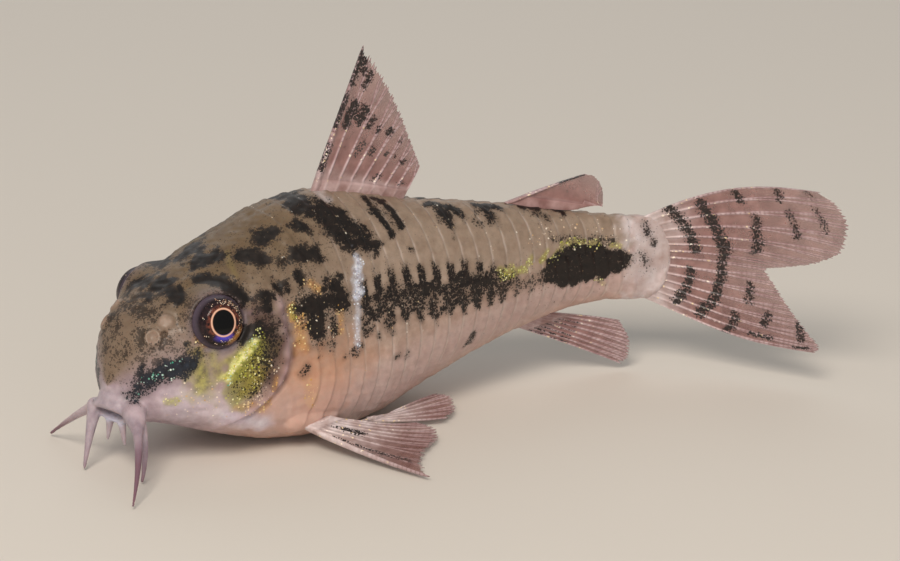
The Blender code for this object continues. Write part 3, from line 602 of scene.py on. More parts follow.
HALO = (
    (0.62, 1.0, ((0.238, 73), (0.216, 79), (0.195, 85))), (0.55, 0.9, ((0.228, 86), (0.208, 98))),
    (0.40, 0.7, ((0.190, 96), (0.200, 106))),
)
BRUISE = ((0.90, 1.0, ((0.258, 62), (0.264, 75))), (0.75, 0.9, ((0.262, 75), (0.252, 88))))
FRECKLES = ((0.85, 0.66, ((0.262, 70), (0.246, 82), (0.226, 98))), (0.65, 0.58, ((0.222, 82), (0.200, 98))))
GOLD = (
    (0.24, 0.9, ((0.366, 55), (0.376, 58))), (0.20, 1.0, ((0.318, 61), (0.314, 66))),
    (0.34, 0.8, ((0.326, 67), (0.324, 78))), (0.20, 0.6, ((0.405, 70), (0.401, 77))),
    (0.15, 0.7, ((0.267, 89), (0.263, 97))), (0.20, 0.6, ((0.262, 104), (0.260, 114))),
    (0.20, 0.6, ((0.235, 108), (0.205, 112))), (0.24, 0.6, ((0.139, 58), (0.150, 62))),
    (0.5, 0.35, ((0.235, 85), (0.215, 96))), (0.35, 0.35, ((0.335, 98), (0.345, 108))),
)
GILT = (
    (0.30, 1.0, ((0.738, 77), (0.754, 78))), (0.22, 0.9, ((0.756, 78), (0.780, 78))),
    (0.16, 0.8, ((0.796, 69), (0.787, 75))), (0.16, 1.0, ((0.829, 67), (0.814, 75))),
    (0.19, 0.9, ((0.851, 69), (0.841, 74))), (0.16, 0.9, ((0.862, 62), (0.856, 68))),
    (0.16, 0.9, ((0.873, 60), (0.876, 62))), (0.19, 0.9, ((0.888, 62), (0.904, 60))),
    (0.20, 0.8, ((0.925, 63), (0.912, 68))), (0.18, 0.8, ((0.954, 67), (0.968, 68))),
    (0.16, 0.5, ((0.932, 110), (0.940, 117))), (0.20, 0.9, ((0.242, 66), (0.254, 69))),
    (0.20, 1.0, ((0.318, 62), (0.316, 65))), (0.24, 0.9, ((0.087, 109), (0.098, 107))),
    (0.61, 0.66, ((0.226, 82), (0.208, 94))), (0.45, 0.35, ((0.190, 96), (0.195, 106))),
)
TEAL = (
    (0.13, 0.9, ((0.096, 68), (0.106, 69))), (0.14, 0.7, ((0.086, 72), (0.092, 74))),
    (0.14, 1.0, ((0.067, 79), (0.080, 78))), (0.14, 0.8, ((0.185, 86), (0.178, 90))),
    (0.40, 0.14, ((0.060, 84), (0.110, 72))), (0.18, 0.4, ((0.240, 68), (0.228, 72))),
)
FLUSH = (
    (1.7, 1.0, ((0.330, 92), (0.370, 100), (0.350, 118))), (1.3, 0.7, ((0.285, 104), (0.260, 120))),
    (0.9, 0.5, ((0.405, 84), (0.45, 92))),
)
BAR = (
    (0.25, 1.0, ((0.466, 51), (0.454, 58))), (0.20, 0.9, ((0.454, 58), (0.444, 66))),
    (0.17, 0.45, ((0.444, 66), (0.439, 73))), (0.17, 0.60, ((0.438, 73), (0.431, 84))),
)
HAZE = (
    (0.60, 1.0, ((0.992, 40), (0.994, 62))), (0.42, 0.8, ((0.994, 66), (0.998, 80))),
    (0.50, 0.55, ((1.000, 84), (1.002, 128))), (0.30, 0.8, ((0.470, 2), (0.466, 13))),
    (0.80, 0.45, ((1.004, 30), (1.006, 90), (1.004, 150))),
)
GLEAM = ((0.55, 1.0, ((0.195, 120), (0.235, 124), (0.285, 126))), (0.8, 0.45, ((0.10, 112), (0.20, 118))))
RIDGE = ((0.12, 1.0, ((0.120, 65), (0.156, 71))), (0.15, 0.8, ((0.277, 17), (0.263, 26), (0.254, 35))))
GILL_TOP = ((0.12, 1.0, ((0.242, 56), (0.283, 60), (0.311, 61))),)
# The band along the side, as ring, its upper and lower turns in degrees, its strength, and how far the
# dark fingers of its plates stand up from it in degrees.
BAND = (
    (0.435, 68, 74, 0.0, 3), (0.450, 67, 76, 1.0, 5), (0.469, 66, 77, 1.0, 8), (0.540, 65, 80, 1.0, 9),
    (0.619, 68, 86, 1.0, 9), (0.695, 72, 92, 0.95, 9), (0.746, 79, 96, 0.75, 7), (0.785, 88, 100, 0.45, 3),
    (0.812, 84, 98, 0.5, 0), (0.826, 76, 97, 1.0, 0), (0.857, 66, 107, 1.0, 0), (0.888, 64, 111, 1.0, 0),
    (0.916, 66, 111, 1.0, 0), (0.944, 69, 108, 1.0, 0), (0.971, 73, 102, 1.0, 0), (0.986, 80, 96, 0.9, 0),
    (0.998, 85, 92, 0.0, 0),
)


UNEVEN = Ripple(21, 0.9)


def brushed(points, strokes, edge=0.8, seed=0):
    """The strength of the strongest brush stroke at each point, on both sides, with uneven soft edges."""
    total = np.zeros(len(points))
    draw = np.random.default_rng(seed)
    for hand in (1, -1):
        for half, strength, stops in strokes:
            rings, turns = (np.array(column, float) for column in zip(*stops))
            if hand < 0 and seed:
                rings = rings + draw.normal() * 0.006
                turns = turns + draw.normal() * 2.0
                half = half * draw.uniform(0.85, 1.15)
            along_stops = np.linspace(0, len(stops) - 1, 5 * len(stops))
            rings = np.interp(along_stops, range(len(stops)), rings)
            turns = np.interp(along_stops, range(len(stops)), turns)
            path = hide(rings, hand * np.radians(turns))
            room = half * (1 + edge) * 1.6 + 0.05
            near = np.all((points > path.min(0) - room) & (points < path.max(0) + room), axis=1)
            spots = points[near]
            best = np.full(len(spots), 99.0)
            for a, b in zip(path[:-1], path[1:]):
                way = b - a
                t = np.clip((spots - a) @ way / max(way @ way, 1e-9), 0, 1)
                best = np.minimum(best, np.linalg.norm(spots - a - t[:, None] * way, axis=1))
            best = best * (1 + 0.20 * UNEVEN.at(spots))
            found = strength * (1 - ramp(best / half, 1 - edge, 1 + edge))
            total[near] = np.maximum(total[near], found)
    return total


def side_band(ring, turn, uneven):
    """The dark band along each side, with a finger up and a fringe down for each plate."""
    rows = list(zip(*BAND))
    top, bottom, strength, finger = [np.interp(ring, rows[0], row) for row in rows[1:]]
    top, bottom, finger = top + 1.5 * uneven, bottom + 2.5 * uneven, finger * (1 + 0.25 * uneven)
    down = np.degrees(np.abs(turn))
    wave = 0.5 + 0.5 * np.cos(plates(ring, turn)[2] * 2 * math.pi)
    fringe = bottom + (4 * ramp(wave, 0.0, 0.9) - 2) * (finger > 0.5)
    solid = ramp(down, top - 5, top + 4) * (1 - ramp(down, fringe - 6, fringe + 7))
    fingers = ramp(wave, 0.0, 0.75) * ramp(down, top - finger - 5, top - finger + 5) * (1 - ramp(down, bottom, bottom + 9))
    middle = hill(down - (top + bottom) / 2 - 1, 5) * (finger > 0.5)
    return strength * np.maximum(solid * (1 - 0.22 * middle), 0.85 * fingers * (finger > 0.5))


def paint(points, faces):
    """Every painted value of the skin, from 0 to 1 at each point."""
    ring, turn, side = body_place(points)
    around = np.degrees(np.abs(turn))
    run, length, _ = plates(ring, turn)
    plated = ramp(ring, SHOULDER - 0.01, SHOULDER + 0.02) * (1 - ramp(ring, 0.98, 1.0)) * (1 - ramp(around, 140, 155))
    across, up, deep = mouth_axes(points)
    fields = {}

    # The mouth, its corners and the feelers are soft flesh with no plates or dots.
    by_mouth = np.linalg.norm(points - (MOUTH_ORIGIN + 0.15 * MOUTH_OUT), axis=1)
    soft = np.maximum(1 - ramp(by_mouth, 0.9, 1.9), ramp(deep, 0.25, 0.55) * (ring < 0.12))
    fields["soft"] = soft
    fields["tip"] = ramp(by_mouth, 1.6, 5.0) * soft

    cheek = brushed(points, CHEEK, 0.9)
    body_marks = np.maximum(brushed(points, DARK, 1.0, seed=41), side_band(ring, turn, UNEVEN.at(points))) * (1 - soft)
    fields["dark"] = np.maximum(np.maximum(body_marks, brushed(points, FRECKLES)), cheek)
    # Fine dots: thick on the snout and the back, fewer below the widest line, none on the belly.
    pepper = 0.40 * (1 - ramp(around, 50, 95)) * (1 - 0.5 * ramp(ring, 0.36, 0.5))
    pepper += 0.20 * (1 - ramp(ring, 0.10, 0.24)) * (1 - ramp(around, 70, 98))
    pepper = np.maximum(pepper, 0.24 * ramp(ring, 0.45, 0.8) * (1 - ramp(around, 125, 150)))
    pepper = np.maximum(pepper, brushed(points, ((1.1, 0.34, ((0.34, 66), (0.38, 78))),), 0.8))
    fields["pepper"] = pepper * (1 - soft)
    dusk = (1 - ramp(around, 24, 76)) * (1 - 0.75 * ramp(ring, 0.34, 0.52)) * (0.45 + 0.55 * ramp(ring, 0.08, 0.17))
    fields["dusk"] = dusk

    fields["cheek"] = cheek
    fields["bruise"] = brushed(points, BRUISE, 0.95)
    fields["lime"] = brushed(points, LIME, 0.95)
    fields["streak"] = brushed(points, STREAK, 0.75)
    fields["halo"] = brushed(points, HALO, 0.95)
    # Painted highlight: a white gleam under the head.
    fields["gleam"] = brushed(points, GLEAM, 0.95)
    fields["low"] = ramp(around, 62, 125)
    fields["flush"] = brushed(points, FLUSH, 0.9) * (1 - soft)
    fields["gold"] = brushed(points, GOLD, 0.8)
    fields["gilt"] = brushed(points, GILT, 0.6)
    fields["teal"] = brushed(points, TEAL, 0.6)
    fields["ridge"] = brushed(points, RIDGE, 0.9)

    gap = gill_gap(ring, turn)
    margin = hill(gap - 0.22, 0.30) * ramp(around, 50, 60) * (1 - ramp(around, 135, 150)) * (ring > 0.15)
    fields["gill"] = np.maximum(margin, brushed(points, GILL_TOP, 0.9))
    # Painted shade: a dark red-brown band in the crease just behind the gill cover's edge.
    crease_shade = hill(gap + 0.20, 0.22) * ramp(around, 48, 60) * (1 - ramp(around, 125, 145)) * (ring > 0.15)
    fields["crease_shade"] = crease_shade
    fields["bar"] = brushed(points, BAR, 0.85)
    fields["haze"] = brushed(points, HAZE, 0.9)
    fields["stern"] = ramp(ring + 0.012 * UNEVEN.at(points), 0.972, 1.004)
    # Painted highlight: a pale sheen along the lower flank.
    fields["sheen"] = 1 - ramp(np.abs(around - 118), 8, 32)

    rear = np.minimum(run, 1 - run) * length
    line = hill(rear, 0.070) * plated * ramp(ring, 0.37, 0.47) * (0.45 + 0.55 * ramp(around, 12, 45))
    fields["rim"] = line * (1 - fields["dark"] * 0.7) * (0.65 + 0.35 * Ripple(9, 1.4).at(points).clip(-1, 1))

    # Painted glints: bright flecks along the plates' rear edges and in a few patches on the head and side.
    spark = 0.12 * plated * hill(rear, 0.09) * (1 - 0.7 * ramp(around, 70, 110))
    spark += brushed(points, ((0.6, 0.22, ((0.82, 52), (0.98, 60))), (0.9, 0.12, ((0.33, 66), (0.37, 74))),
                              (0.7, 0.58, ((0.245, 88), (0.225, 104))), (0.9, 0.26, ((0.20, 108), (0.12, 104)))), 0.8)
    fields["spark"] = np.clip(spark, 0, 1) * (1 - soft)

    # Eyelids: soft grey rings round the eyes.
    ring_near = np.zeros(len(points))
    for hand in (1, -1):
        axis = direction(hand, EYE_FORWARD, EYE_UP)
        from_eye = points - eye_centre(hand)
        level = from_eye @ axis
        off = np.linalg.norm(from_eye - level[:, None] * axis, axis=1)
        ring_near = np.maximum(ring_near, (1 - ramp(off, ORBIT - 0.02, ORBIT + 0.50)) * (level > -0.3))
    fields["lid"] = ring_near

    nose, pit = np.zeros(len(points)), np.zeros(len(points))
    for hand in (1, -1):
        for (at, turned), size in ((NOSTRIL, 0.38), (REAR_NOSTRIL, 0.40)):
            apart = np.linalg.norm(points - hide(at, hand * turned), axis=1)
            nose = np.maximum(nose, 1 - ramp(apart, size - 0.16, size + 0.16))
        # Painted shade: a dark spot in the hollow between the front and rear nostrils.
        apart = np.linalg.norm(points - hide(0.096, hand * math.radians(44)), axis=1)
        pit = np.maximum(pit, 0.8 * (1 - ramp(apart, 0.06, 0.20)))
    fields["nose"] = nose
    for name in ("pepper", "dark"):
        fields[name] = fields[name] * (1 - 0.75 * nose)
    inside = 1 - (across / MOUTH_WIDE) ** 2 - ((up - MOUTH_MIDDLE) / MOUTH_TALL) ** 2
    # The same painted shade fills the mouth's opening.
    fields["pit"] = np.maximum(pit, ramp(inside, 0.1, 0.5) * (deep > -0.9) * (by_mouth < 1.6))
    fields["chin"] = (1 - ramp(np.linalg.norm(points - MOUTH_ORIGIN, axis=1), 3.0, 8.5)) * ramp(around, 34, 86)
    fields["lip"] = soft * hill(up - LOWER_LIP, 0.16) * (np.abs(across) < 0.85) * (np.abs(deep - 0.1) < 0.35)
    return fields


skin = shape("skin", skin_points, skin_faces, paint(skin_points, skin_faces))


def linear(colour):
    """An sRGB hex colour as the linear values that the shaders take."""
    parts = [int(colour[i:i + 2], 16) / 255 for i in (0, 2, 4)]
    return (*[part / 12.92 if part <= 0.04045 else ((part + 0.055) / 1.055) ** 2.4 for part in parts], 1.0)


def add(tree, kind, inputs=None, out=0, **settings):
    """Adds a node with its settings and its inputs, values or links, and returns one of its outputs."""
    made = tree.nodes.new("ShaderNode" + kind)
    for key, value in settings.items():
        setattr(made, key, value)
    for key, value in (inputs or {}).items():
        if isinstance(value, bpy.types.NodeSocket):
            tree.links.new(value, made.inputs[key])
        else:
            made.inputs[key].default_value = value
    return made.outputs[out]


def wet_painted_skin():
    """Resin painted in thin coats under clear varnish: soft pigment cells with hard wet highlights on top, and painted
    highlights and glints in the colour.
    """
    material = bpy.data.materials.new("wet painted skin")
    material.use_nodes = True
    tree = material.node_tree
    shader = tree.nodes["Principled BSDF"]
    spot = add(tree, "TexCoord", out="Object")

    def field(name):
        return add(tree, "Attribute", out="Fac", attribute_name=name)

    def over(amount, below, colour):
        above = linear(colour) if isinstance(colour, str) else colour
        return add(tree, "Mix", {0: amount, 6: below, 7: above}, out=2, data_type="RGBA")

    def times(a, b):
        return add(tree, "Math", {0: a, 1: b}, operation="MULTIPLY")

    # Clouds of 0.9 mm and mottling of 0.3 mm keep the plain ground from being even.
    cloud = add(tree, "TexNoise", {"Vector": spot, "Scale": 1000 / 0.9, "Detail": 4.0, "Roughness": 0.6})
    cloud = add(tree, "MapRange", {0: cloud, 1: 0.3, 2: 0.7, 3: 0.0, 4: 1.0})
    mottle = add(tree, "TexNoise", {"Vector": spot, "Scale": 1000 / 0.30, "Detail": 3.0, "Roughness": 0.6})
    mottle = add(tree, "MapRange", {0: mottle, 1: 0.3, 2: 0.7, 3: 0.0, 4: 1.0})
    flank_paint = over(cloud, linear("94806f"), "b8a595")
    back = over(field("dusk"), flank_paint, over(cloud, linear("5c4b36"), "7e6c52"))
    belly = over(cloud, linear("b99485"), "d6b7ab")
    ground = over(field("low"), back, belly)
    ground = over(times(field("flush"), 0.62), ground, over(mottle, linear("cd8a62"), "e3ab88"))
    ground = over(times(field("chin"), 0.85), ground, over(cloud, linear("9c8998"), "c3b2be"))
    # Painted highlights: a pale sheen along the lower flank and a white gleam under the head.
    ground = over(times(field("sheen"), 0.25), ground, "dccdd2")
    ground = over(times(field("gleam"), 0.95), ground, over(cloud, linear("d3c3d2"), "f1eaf1"))
    # Painted shade in the crease behind the gill cover.
    ground = over(times(field("crease_shade"), 0.30), ground, "6a4238")
    ground = over(times(field("gill"), 0.60), ground, "c7aab4")
    ground = over(times(mottle, 0.18), ground, "5a483d")
    ground = over(times(field("rim"), 0.56), ground, "e6d5ca")
    ground = over(times(field("lid"), 0.92), ground, over(mottle, linear("645a62"), "938890"))
    patch = add(tree, "MapRange", {0: cloud, 1: 0.15, 2: 0.75, 3: 0.25, 4: 1.0})
    ground = over(times(field("haze"), times(patch, 0.9)), ground, "ebe4ea")
    ground = over(times(field("stern"), 0.92), ground, over(cloud, linear("b39a94"), "e6dbdc"))
    ground = over(times(field("ridge"), 0.7), ground, "857647")
    flesh = over(cloud, linear("948690"), "bfb2ba")
    ground = over(field("soft"), ground, over(field("tip"), flesh, "745764"))
    ground = over(times(field("lip"), 0.8), ground, "d6daf0")
    ground = over(times(field("nose"), 0.62), ground, over(mottle, linear("8f7b6c"), "b39c8d"))
    ground = over(times(field("lime"), 0.88), ground, over(mottle, linear("5f5e22"), "c2bc5c"))
    ground = over(times(field("bruise"), 0.88), ground, over(mottle, linear("26121a"), "532f36"))
    ground = over(times(field("halo"), 0.92), ground, over(mottle, linear("626a16"), "c4c148"))
    ground = over(times(field("gold"), 0.72), ground, over(mottle, linear("b8773a"), "e8b565"))
    ground = over(times(field("gilt"), 0.55), ground, "a8a636")

    # Pigment cells of 0.10 and 0.17 mm: single dots where they are thin, a solid blotch where they crowd.
    dark, pepper = field("dark"), field("pepper")
    ground = over(times(dark, 0.66), ground, "3a2c23")
    drift = add(tree, "MapRange", {0: mottle, 1: 0.0, 2: 1.0, 3: -0.12, 4: 0.12})
    patchy = add(tree, "MapRange", {0: cloud, 1: 0.0, 2: 1.0, 3: 0.35, 4: 1.65})
    crowd = add(tree, "Math", {0: dark, 1: times(pepper, patchy)}, operation="ADD")
    crowd = add(tree, "Math", {0: crowd, 1: drift}, operation="ADD")
    freckled = add(tree, "Math", {0: pepper, 1: 0.7}, operation="MULTIPLY")
    ground = over(times(freckled, patchy), ground, "5e4936")
    density = add(tree, "MapRange", {0: crowd, 1: 0.04, 2: 1.0, 3: -0.04, 4: 0.92}, clamp=False)
    ink = None
    for size in (0.085, 0.15):
        cells = tree.nodes.new("ShaderNodeTexVoronoi")
        cells.inputs["Scale"].default_value = 1000 / size
        tree.links.new(spot, cells.inputs["Vector"])
        lot = add(tree, "SeparateColor", {0: cells.outputs["Color"]})
        spread = add(tree, "Math", {0: lot, 1: 0.55, 2: cells.outputs["Distance"]}, operation="MULTIPLY_ADD")
        room = add(tree, "Math", {0: density, 1: spread}, operation="SUBTRACT")
        dots = add(tree, "MapRange", {0: room, 1: -0.10, 2: 0.10, 3: 0.0, 4: 1.0})
        ink = dots if ink is None else add(tree, "Math", {0: ink, 1: dots}, operation="MAXIMUM")
    black = over(mottle, linear("070505"), "1d1410")
    strength = add(tree, "MapRange", {0: dark, 1: 0.0, 2: 0.7, 3: 0.66, 4: 0.98})
    blue_black = over(mottle, linear("0a0c14"), "232c3a")
    ground = over(times(ink, strength), ground, over(field("cheek"), black, blue_black))
    broken = add(tree, "MapRange", {0: mottle, 1: 0.1, 2: 0.6, 3: 0.45, 4: 1.0})
    ground = over(times(field("bar"), broken), ground, over(mottle, linear("98a0ba"), "eef2fb"))
    streak = over(mottle, linear("b9c032"), "fbf9b4")
    ground = over(times(field("streak"), broken), ground, streak)
    # Painted shade: near-black in the nostril hollows and inside the mouth.
    ground = over(times(field("pit"), 0.9), ground, "1a0f0c")

    # Half-mirror cells of 0.12 mm that catch the light, each field with its own two colours of fleck, from a deep tint
    # to a near-white painted glint.
    flakes = tree.nodes.new("ShaderNodeTexVoronoi")
    flakes.inputs["Scale"].default_value = 1000 / 0.12
    tree.links.new(spot, flakes.inputs["Vector"])
    split = tree.nodes.new("ShaderNodeSeparateColor")
    tree.links.new(flakes.outputs["Color"], split.inputs[0])
    uneven = add(tree, "Math", {0: split.outputs[2], 1: 0.34, 2: flakes.outputs["Distance"]}, operation="MULTIPLY_ADD")
    fleck = add(tree, "MapRange", {0: uneven, 1: 0.40, 2: 0.62, 3: 1.0, 4: 0.0})
    lit = 0.0
    for name, deep, bright in (
        ("spark", "d6b07a", "fff8ea"), ("gold", "d09a4c", "fff0bc"), ("gilt", "b0b42a", "fdfcc0"),
        ("streak", "d8c437", "fffef0"), ("teal", "3aa68b", "effff9"), ("bar", "cdd6ee", "ffffff"),
    ):
        chance = add(tree, "Math", {0: split.outputs[0], 1: times(field(name), 0.85)}, operation="ADD")
        found = times(add(tree, "MapRange", {0: chance, 1: 1.0, 2: 1.05, 3: 0.0, 4: 1.0}), fleck)
        ground = over(found, ground, over(split.outputs[1], linear(deep), bright))
        lit = add(tree, "Math", {0: found, 1: lit}, operation="MAXIMUM")
    tree.links.new(ground, shader.inputs["Base Color"])

    mirror = add(tree, "Math", {0: lit, 1: 0.5}, operation="MULTIPLY")
    tree.links.new(mirror, shader.inputs["Metallic"])
    rough = add(tree, "MapRange", {0: mottle, 1: 0.0, 2: 1.0, 3: 0.36, 4: 0.54})
    tree.links.new(rough, shader.inputs["Roughness"])
    bumps = add(tree, "TexNoise", {"Vector": spot, "Scale": 1000 / 0.12, "Detail": 2.0})
    relief = add(tree, "Bump", {"Strength": 0.25, "Distance": 0.00003, "Height": bumps})
    tree.links.new(relief, shader.inputs["Normal"])
    shader.inputs["IOR"].default_value = 1.45
    shader.inputs["Coat Weight"].default_value = 0.16
    shader.inputs["Coat Roughness"].default_value = 0.27
    shader.inputs["Specular IOR Level"].default_value = 0.38
    shader.inputs["Subsurface Weight"].default_value = 0.14
    shader.inputs["Subsurface Radius"].default_value = (1.0, 0.45, 0.30)
    shader.inputs["Subsurface Scale"].default_value = 0.0009
    return material


skin.data.materials.append(wet_painted_skin())
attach(skin, "root")
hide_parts("head", "torso", "tail_stem", *[
    f"barbel_{kind}_{side}" for kind in ("long", "short", "chin") for side in ("left", "right")
])


# Eyes. Each real one is a round lens behind a flat clear window, in an iris with a thin bright ring.
# The model's are glass domes painted from behind and set into the sockets from the front.
PUPIL, BRIGHT_RING = 0.63, 0.135


def glass_eye(name, hand):
    """One domed eye facing out of its socket, with each point's distance from the axis and its angle."""
    axis = direction(hand, EYE_FORWARD, EYE_UP)
    upward = np.array([0, 0, 1.0]) - axis * axis[2]
    upward /= np.linalg.norm(upward)
    ahead = np.cross(upward, axis) * hand
    laps = np.arange(96) * 2 * math.pi / 96
    tilts = np.linspace(0.0, math.pi, 64)[1:-1]
    rings, off, lap = [], [], []
    for tilt in tilts:
        radius = EYE_BALL * math.sin(tilt)
        level = EYE_BALL * math.cos(tilt)
        level = min(level, 1.15 + 0.35 * (level - 1.15)) if level > 1.15 else level
        rings.append(eye_centre(hand) + axis * level + radius * (
            np.cos(laps)[:, None] * ahead + np.sin(laps)[:, None] * upward))
        off.append(np.full(96, radius))
        lap.append(laps)
    top = 1.15 + 0.35 * (EYE_BALL - 1.15)
    points, faces = loft(np.array(rings), eye_centre(hand) + axis * top, eye_centre(hand) - axis * EYE_BALL)
    off = np.concatenate([*off, [0.0, 0.0]])
    lap = np.concatenate([*lap, [0.0, 0.0]])
    fields = {"off": off, "ahead": np.cos(lap), "upward": np.sin(lap)}
    return shape(name, points, faces, fields)


def painted_glass_eye():
    """Polished glass over paint: a black pupil, a pink-gold ring and a dark iris with gold flecks, and a violet-blue
    glint painted low on the iris.
    """
    material = bpy.data.materials.new("painted glass eye")
    material.use_nodes = True
    tree = material.node_tree
    shader = tree.nodes["Principled BSDF"]
    spot = add(tree, "TexCoord", out="Object")
    off = add(tree, "Attribute", out="Fac", attribute_name="off")
    ahead = add(tree, "Attribute", out="Fac", attribute_name="ahead")
    upward = add(tree, "Attribute", out="Fac", attribute_name="upward")
    grain = add(tree, "TexNoise", {"Vector": spot, "Scale": 1000 / 0.16, "Detail": 3.0})
    grain = add(tree, "MapRange", {0: grain, 1: 0.3, 2: 0.7, 3: 0.0, 4: 1.0})

    def layer(amount, below, colour):
        return add(tree, "Mix", {0: amount, 6: below, 7: linear(colour)}, out=2, data_type="RGBA")

    def between(value, low, high, least=0.0, most=1.0):
        return add(tree, "MapRange", {0: value, 1: low, 2: high, 3: least, 4: most})

    # The pupil is taller than it is wide.
    squeeze = add(tree, "Math", {0: ahead, 1: ahead}, operation="MULTIPLY")
    squeeze = add(tree, "Math", {0: squeeze, 1: 0.07, 2: off}, operation="MULTIPLY_ADD")
    iris = add(tree, "Mix", {0: grain, 6: linear("0a070c"), 7: linear("2e1c20")}, out=2, data_type="RGBA")
    flakes = tree.nodes.new("ShaderNodeTexVoronoi")
    flakes.inputs["Scale"].default_value = 1000 / 0.085
    tree.links.new(spot, flakes.inputs["Vector"])
    split = tree.nodes.new("ShaderNodeSeparateColor")
    tree.links.new(flakes.outputs["Color"], split.inputs[0])
    arc = add(tree, "Math", {0: between(off, 0.80, 0.98), 1: between(off, 1.26, 1.10)}, operation="MULTIPLY")
    arc = add(tree, "Math", {0: arc, 1: between(ahead, -0.55, 0.55, 0.05, 0.80)}, operation="MULTIPLY")
    arc = add(tree, "Math", {0: arc, 1: split.outputs[0]}, operation="ADD")
    arc = add(tree, "Math", {0: between(arc, 0.98, 1.03), 1: between(flakes.outputs["Distance"], 0.46, 0.30)}, operation="MULTIPLY")
    inner = add(tree, "Math", {0: between(off, 0.96, 0.80), 1: between(grain, 0.3, 0.8, 0.0, 0.55)}, operation="MULTIPLY")
    iris = layer(inner, iris, "8a4a34")
    ember = add(tree, "Math", {0: between(ahead, 0.1, 0.6), 1: between(upward, -0.25, -0.60)}, operation="MULTIPLY")
    ember = add(tree, "Math", {0: ember, 1: between(off, 0.85, 1.0, 0.0, 0.75)}, operation="MULTIPLY")
    iris = layer(ember, iris, "c98a3c")
    # Painted glint: a violet-blue reflection low on the iris.
    under = add(tree, "Math", {0: between(upward, -0.75, -0.98), 1: between(off, 1.05, 0.86)}, operation="MULTIPLY")
    iris = layer(under, iris, "4b43b8")
    iris = add(tree, "Mix", {0: arc, 6: iris, 7: add(tree, "Mix", {
        0: split.outputs[1], 6: linear("c98a5c"), 7: linear("fff3dc")}, out=2, data_type="RGBA")}, out=2, data_type="RGBA")
    iris = layer(between(off, 1.16, 1.38, 0.0, 0.95), iris, "5e5462")
    rim = add(tree, "Math", {0: squeeze, 1: PUPIL + BRIGHT_RING / 2}, operation="SUBTRACT")
    rim = add(tree, "Math", {0: rim}, operation="ABSOLUTE")
    iris = layer(between(rim, BRIGHT_RING / 2, BRIGHT_RING / 2 - 0.05), iris, "e8b79c")
    iris = layer(between(squeeze, PUPIL + 0.03, PUPIL - 0.01), iris, "030304")
    tree.links.new(iris, shader.inputs["Base Color"])
    shader.inputs["Roughness"].default_value = 0.5
    shader.inputs["Specular IOR Level"].default_value = 0.1
    shader.inputs["Coat Weight"].default_value = 0.4
    shader.inputs["Coat Roughness"].default_value = 0.04
    return material


eye_paint = painted_glass_eye()
for side, hand in (("left", 1), ("right", -1)):
    eye = glass_eye("glass_eye_" + side, hand)
    eye.data.materials.append(eye_paint)
    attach(eye, "root")
    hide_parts("eye_" + side)


# Fins. Real ones are two skins over jointed rays that branch towards the edge, with a web between
# them that light shines through. The model's are clear tinted resin sheets, pinned into the body.
WEB_THICK, RAY_THICK = 0.040, 0.070


class Rays:
    """Where a fin's rays run: shares of its breadth at the root, and where each one branches."""

    def __init__(self, count, spined=False, first_fork=0.40, second_fork=0.68, spine=2.4):
        self.shares = np.linspace(0, 1, count)
        self.spined, self.forks, self.spine = spined, (first_fork, second_fork), spine
        self.pitch = 1 / (count - 1)

    def relief(self, share, reach, breadth):
        """Ridge height (0 to 1) at each point of a fin that is breadth mm wide, thinner after each fork."""
        total = np.zeros(np.broadcast(share, reach).shape)
        first, second = ramp(reach, self.forks[0], 1.15), ramp(reach, self.forks[1], 1.2)
        wide = np.interp(reach, (0, 0.4, 1.0), (0.085, 0.060, 0.040))
        for i, root in enumerate(self.shares):
            if i == 0:
                size = wide * (self.spine if self.spined else 1.3)
                total = np.maximum(total, hill((share - root) * breadth - size * 0.5, size))
                continue
            for way in (-1, 1):
                for turn in (-1, 1):
                    centre = root + self.pitch * (way * 0.26 * first + turn * 0.12 * second) - self.pitch * 0.26 * first * (i == len(self.shares) - 1)
                    total = np.maximum(total, (1 - 0.2 * first) * hill((share - centre) * breadth, wide))
        return total


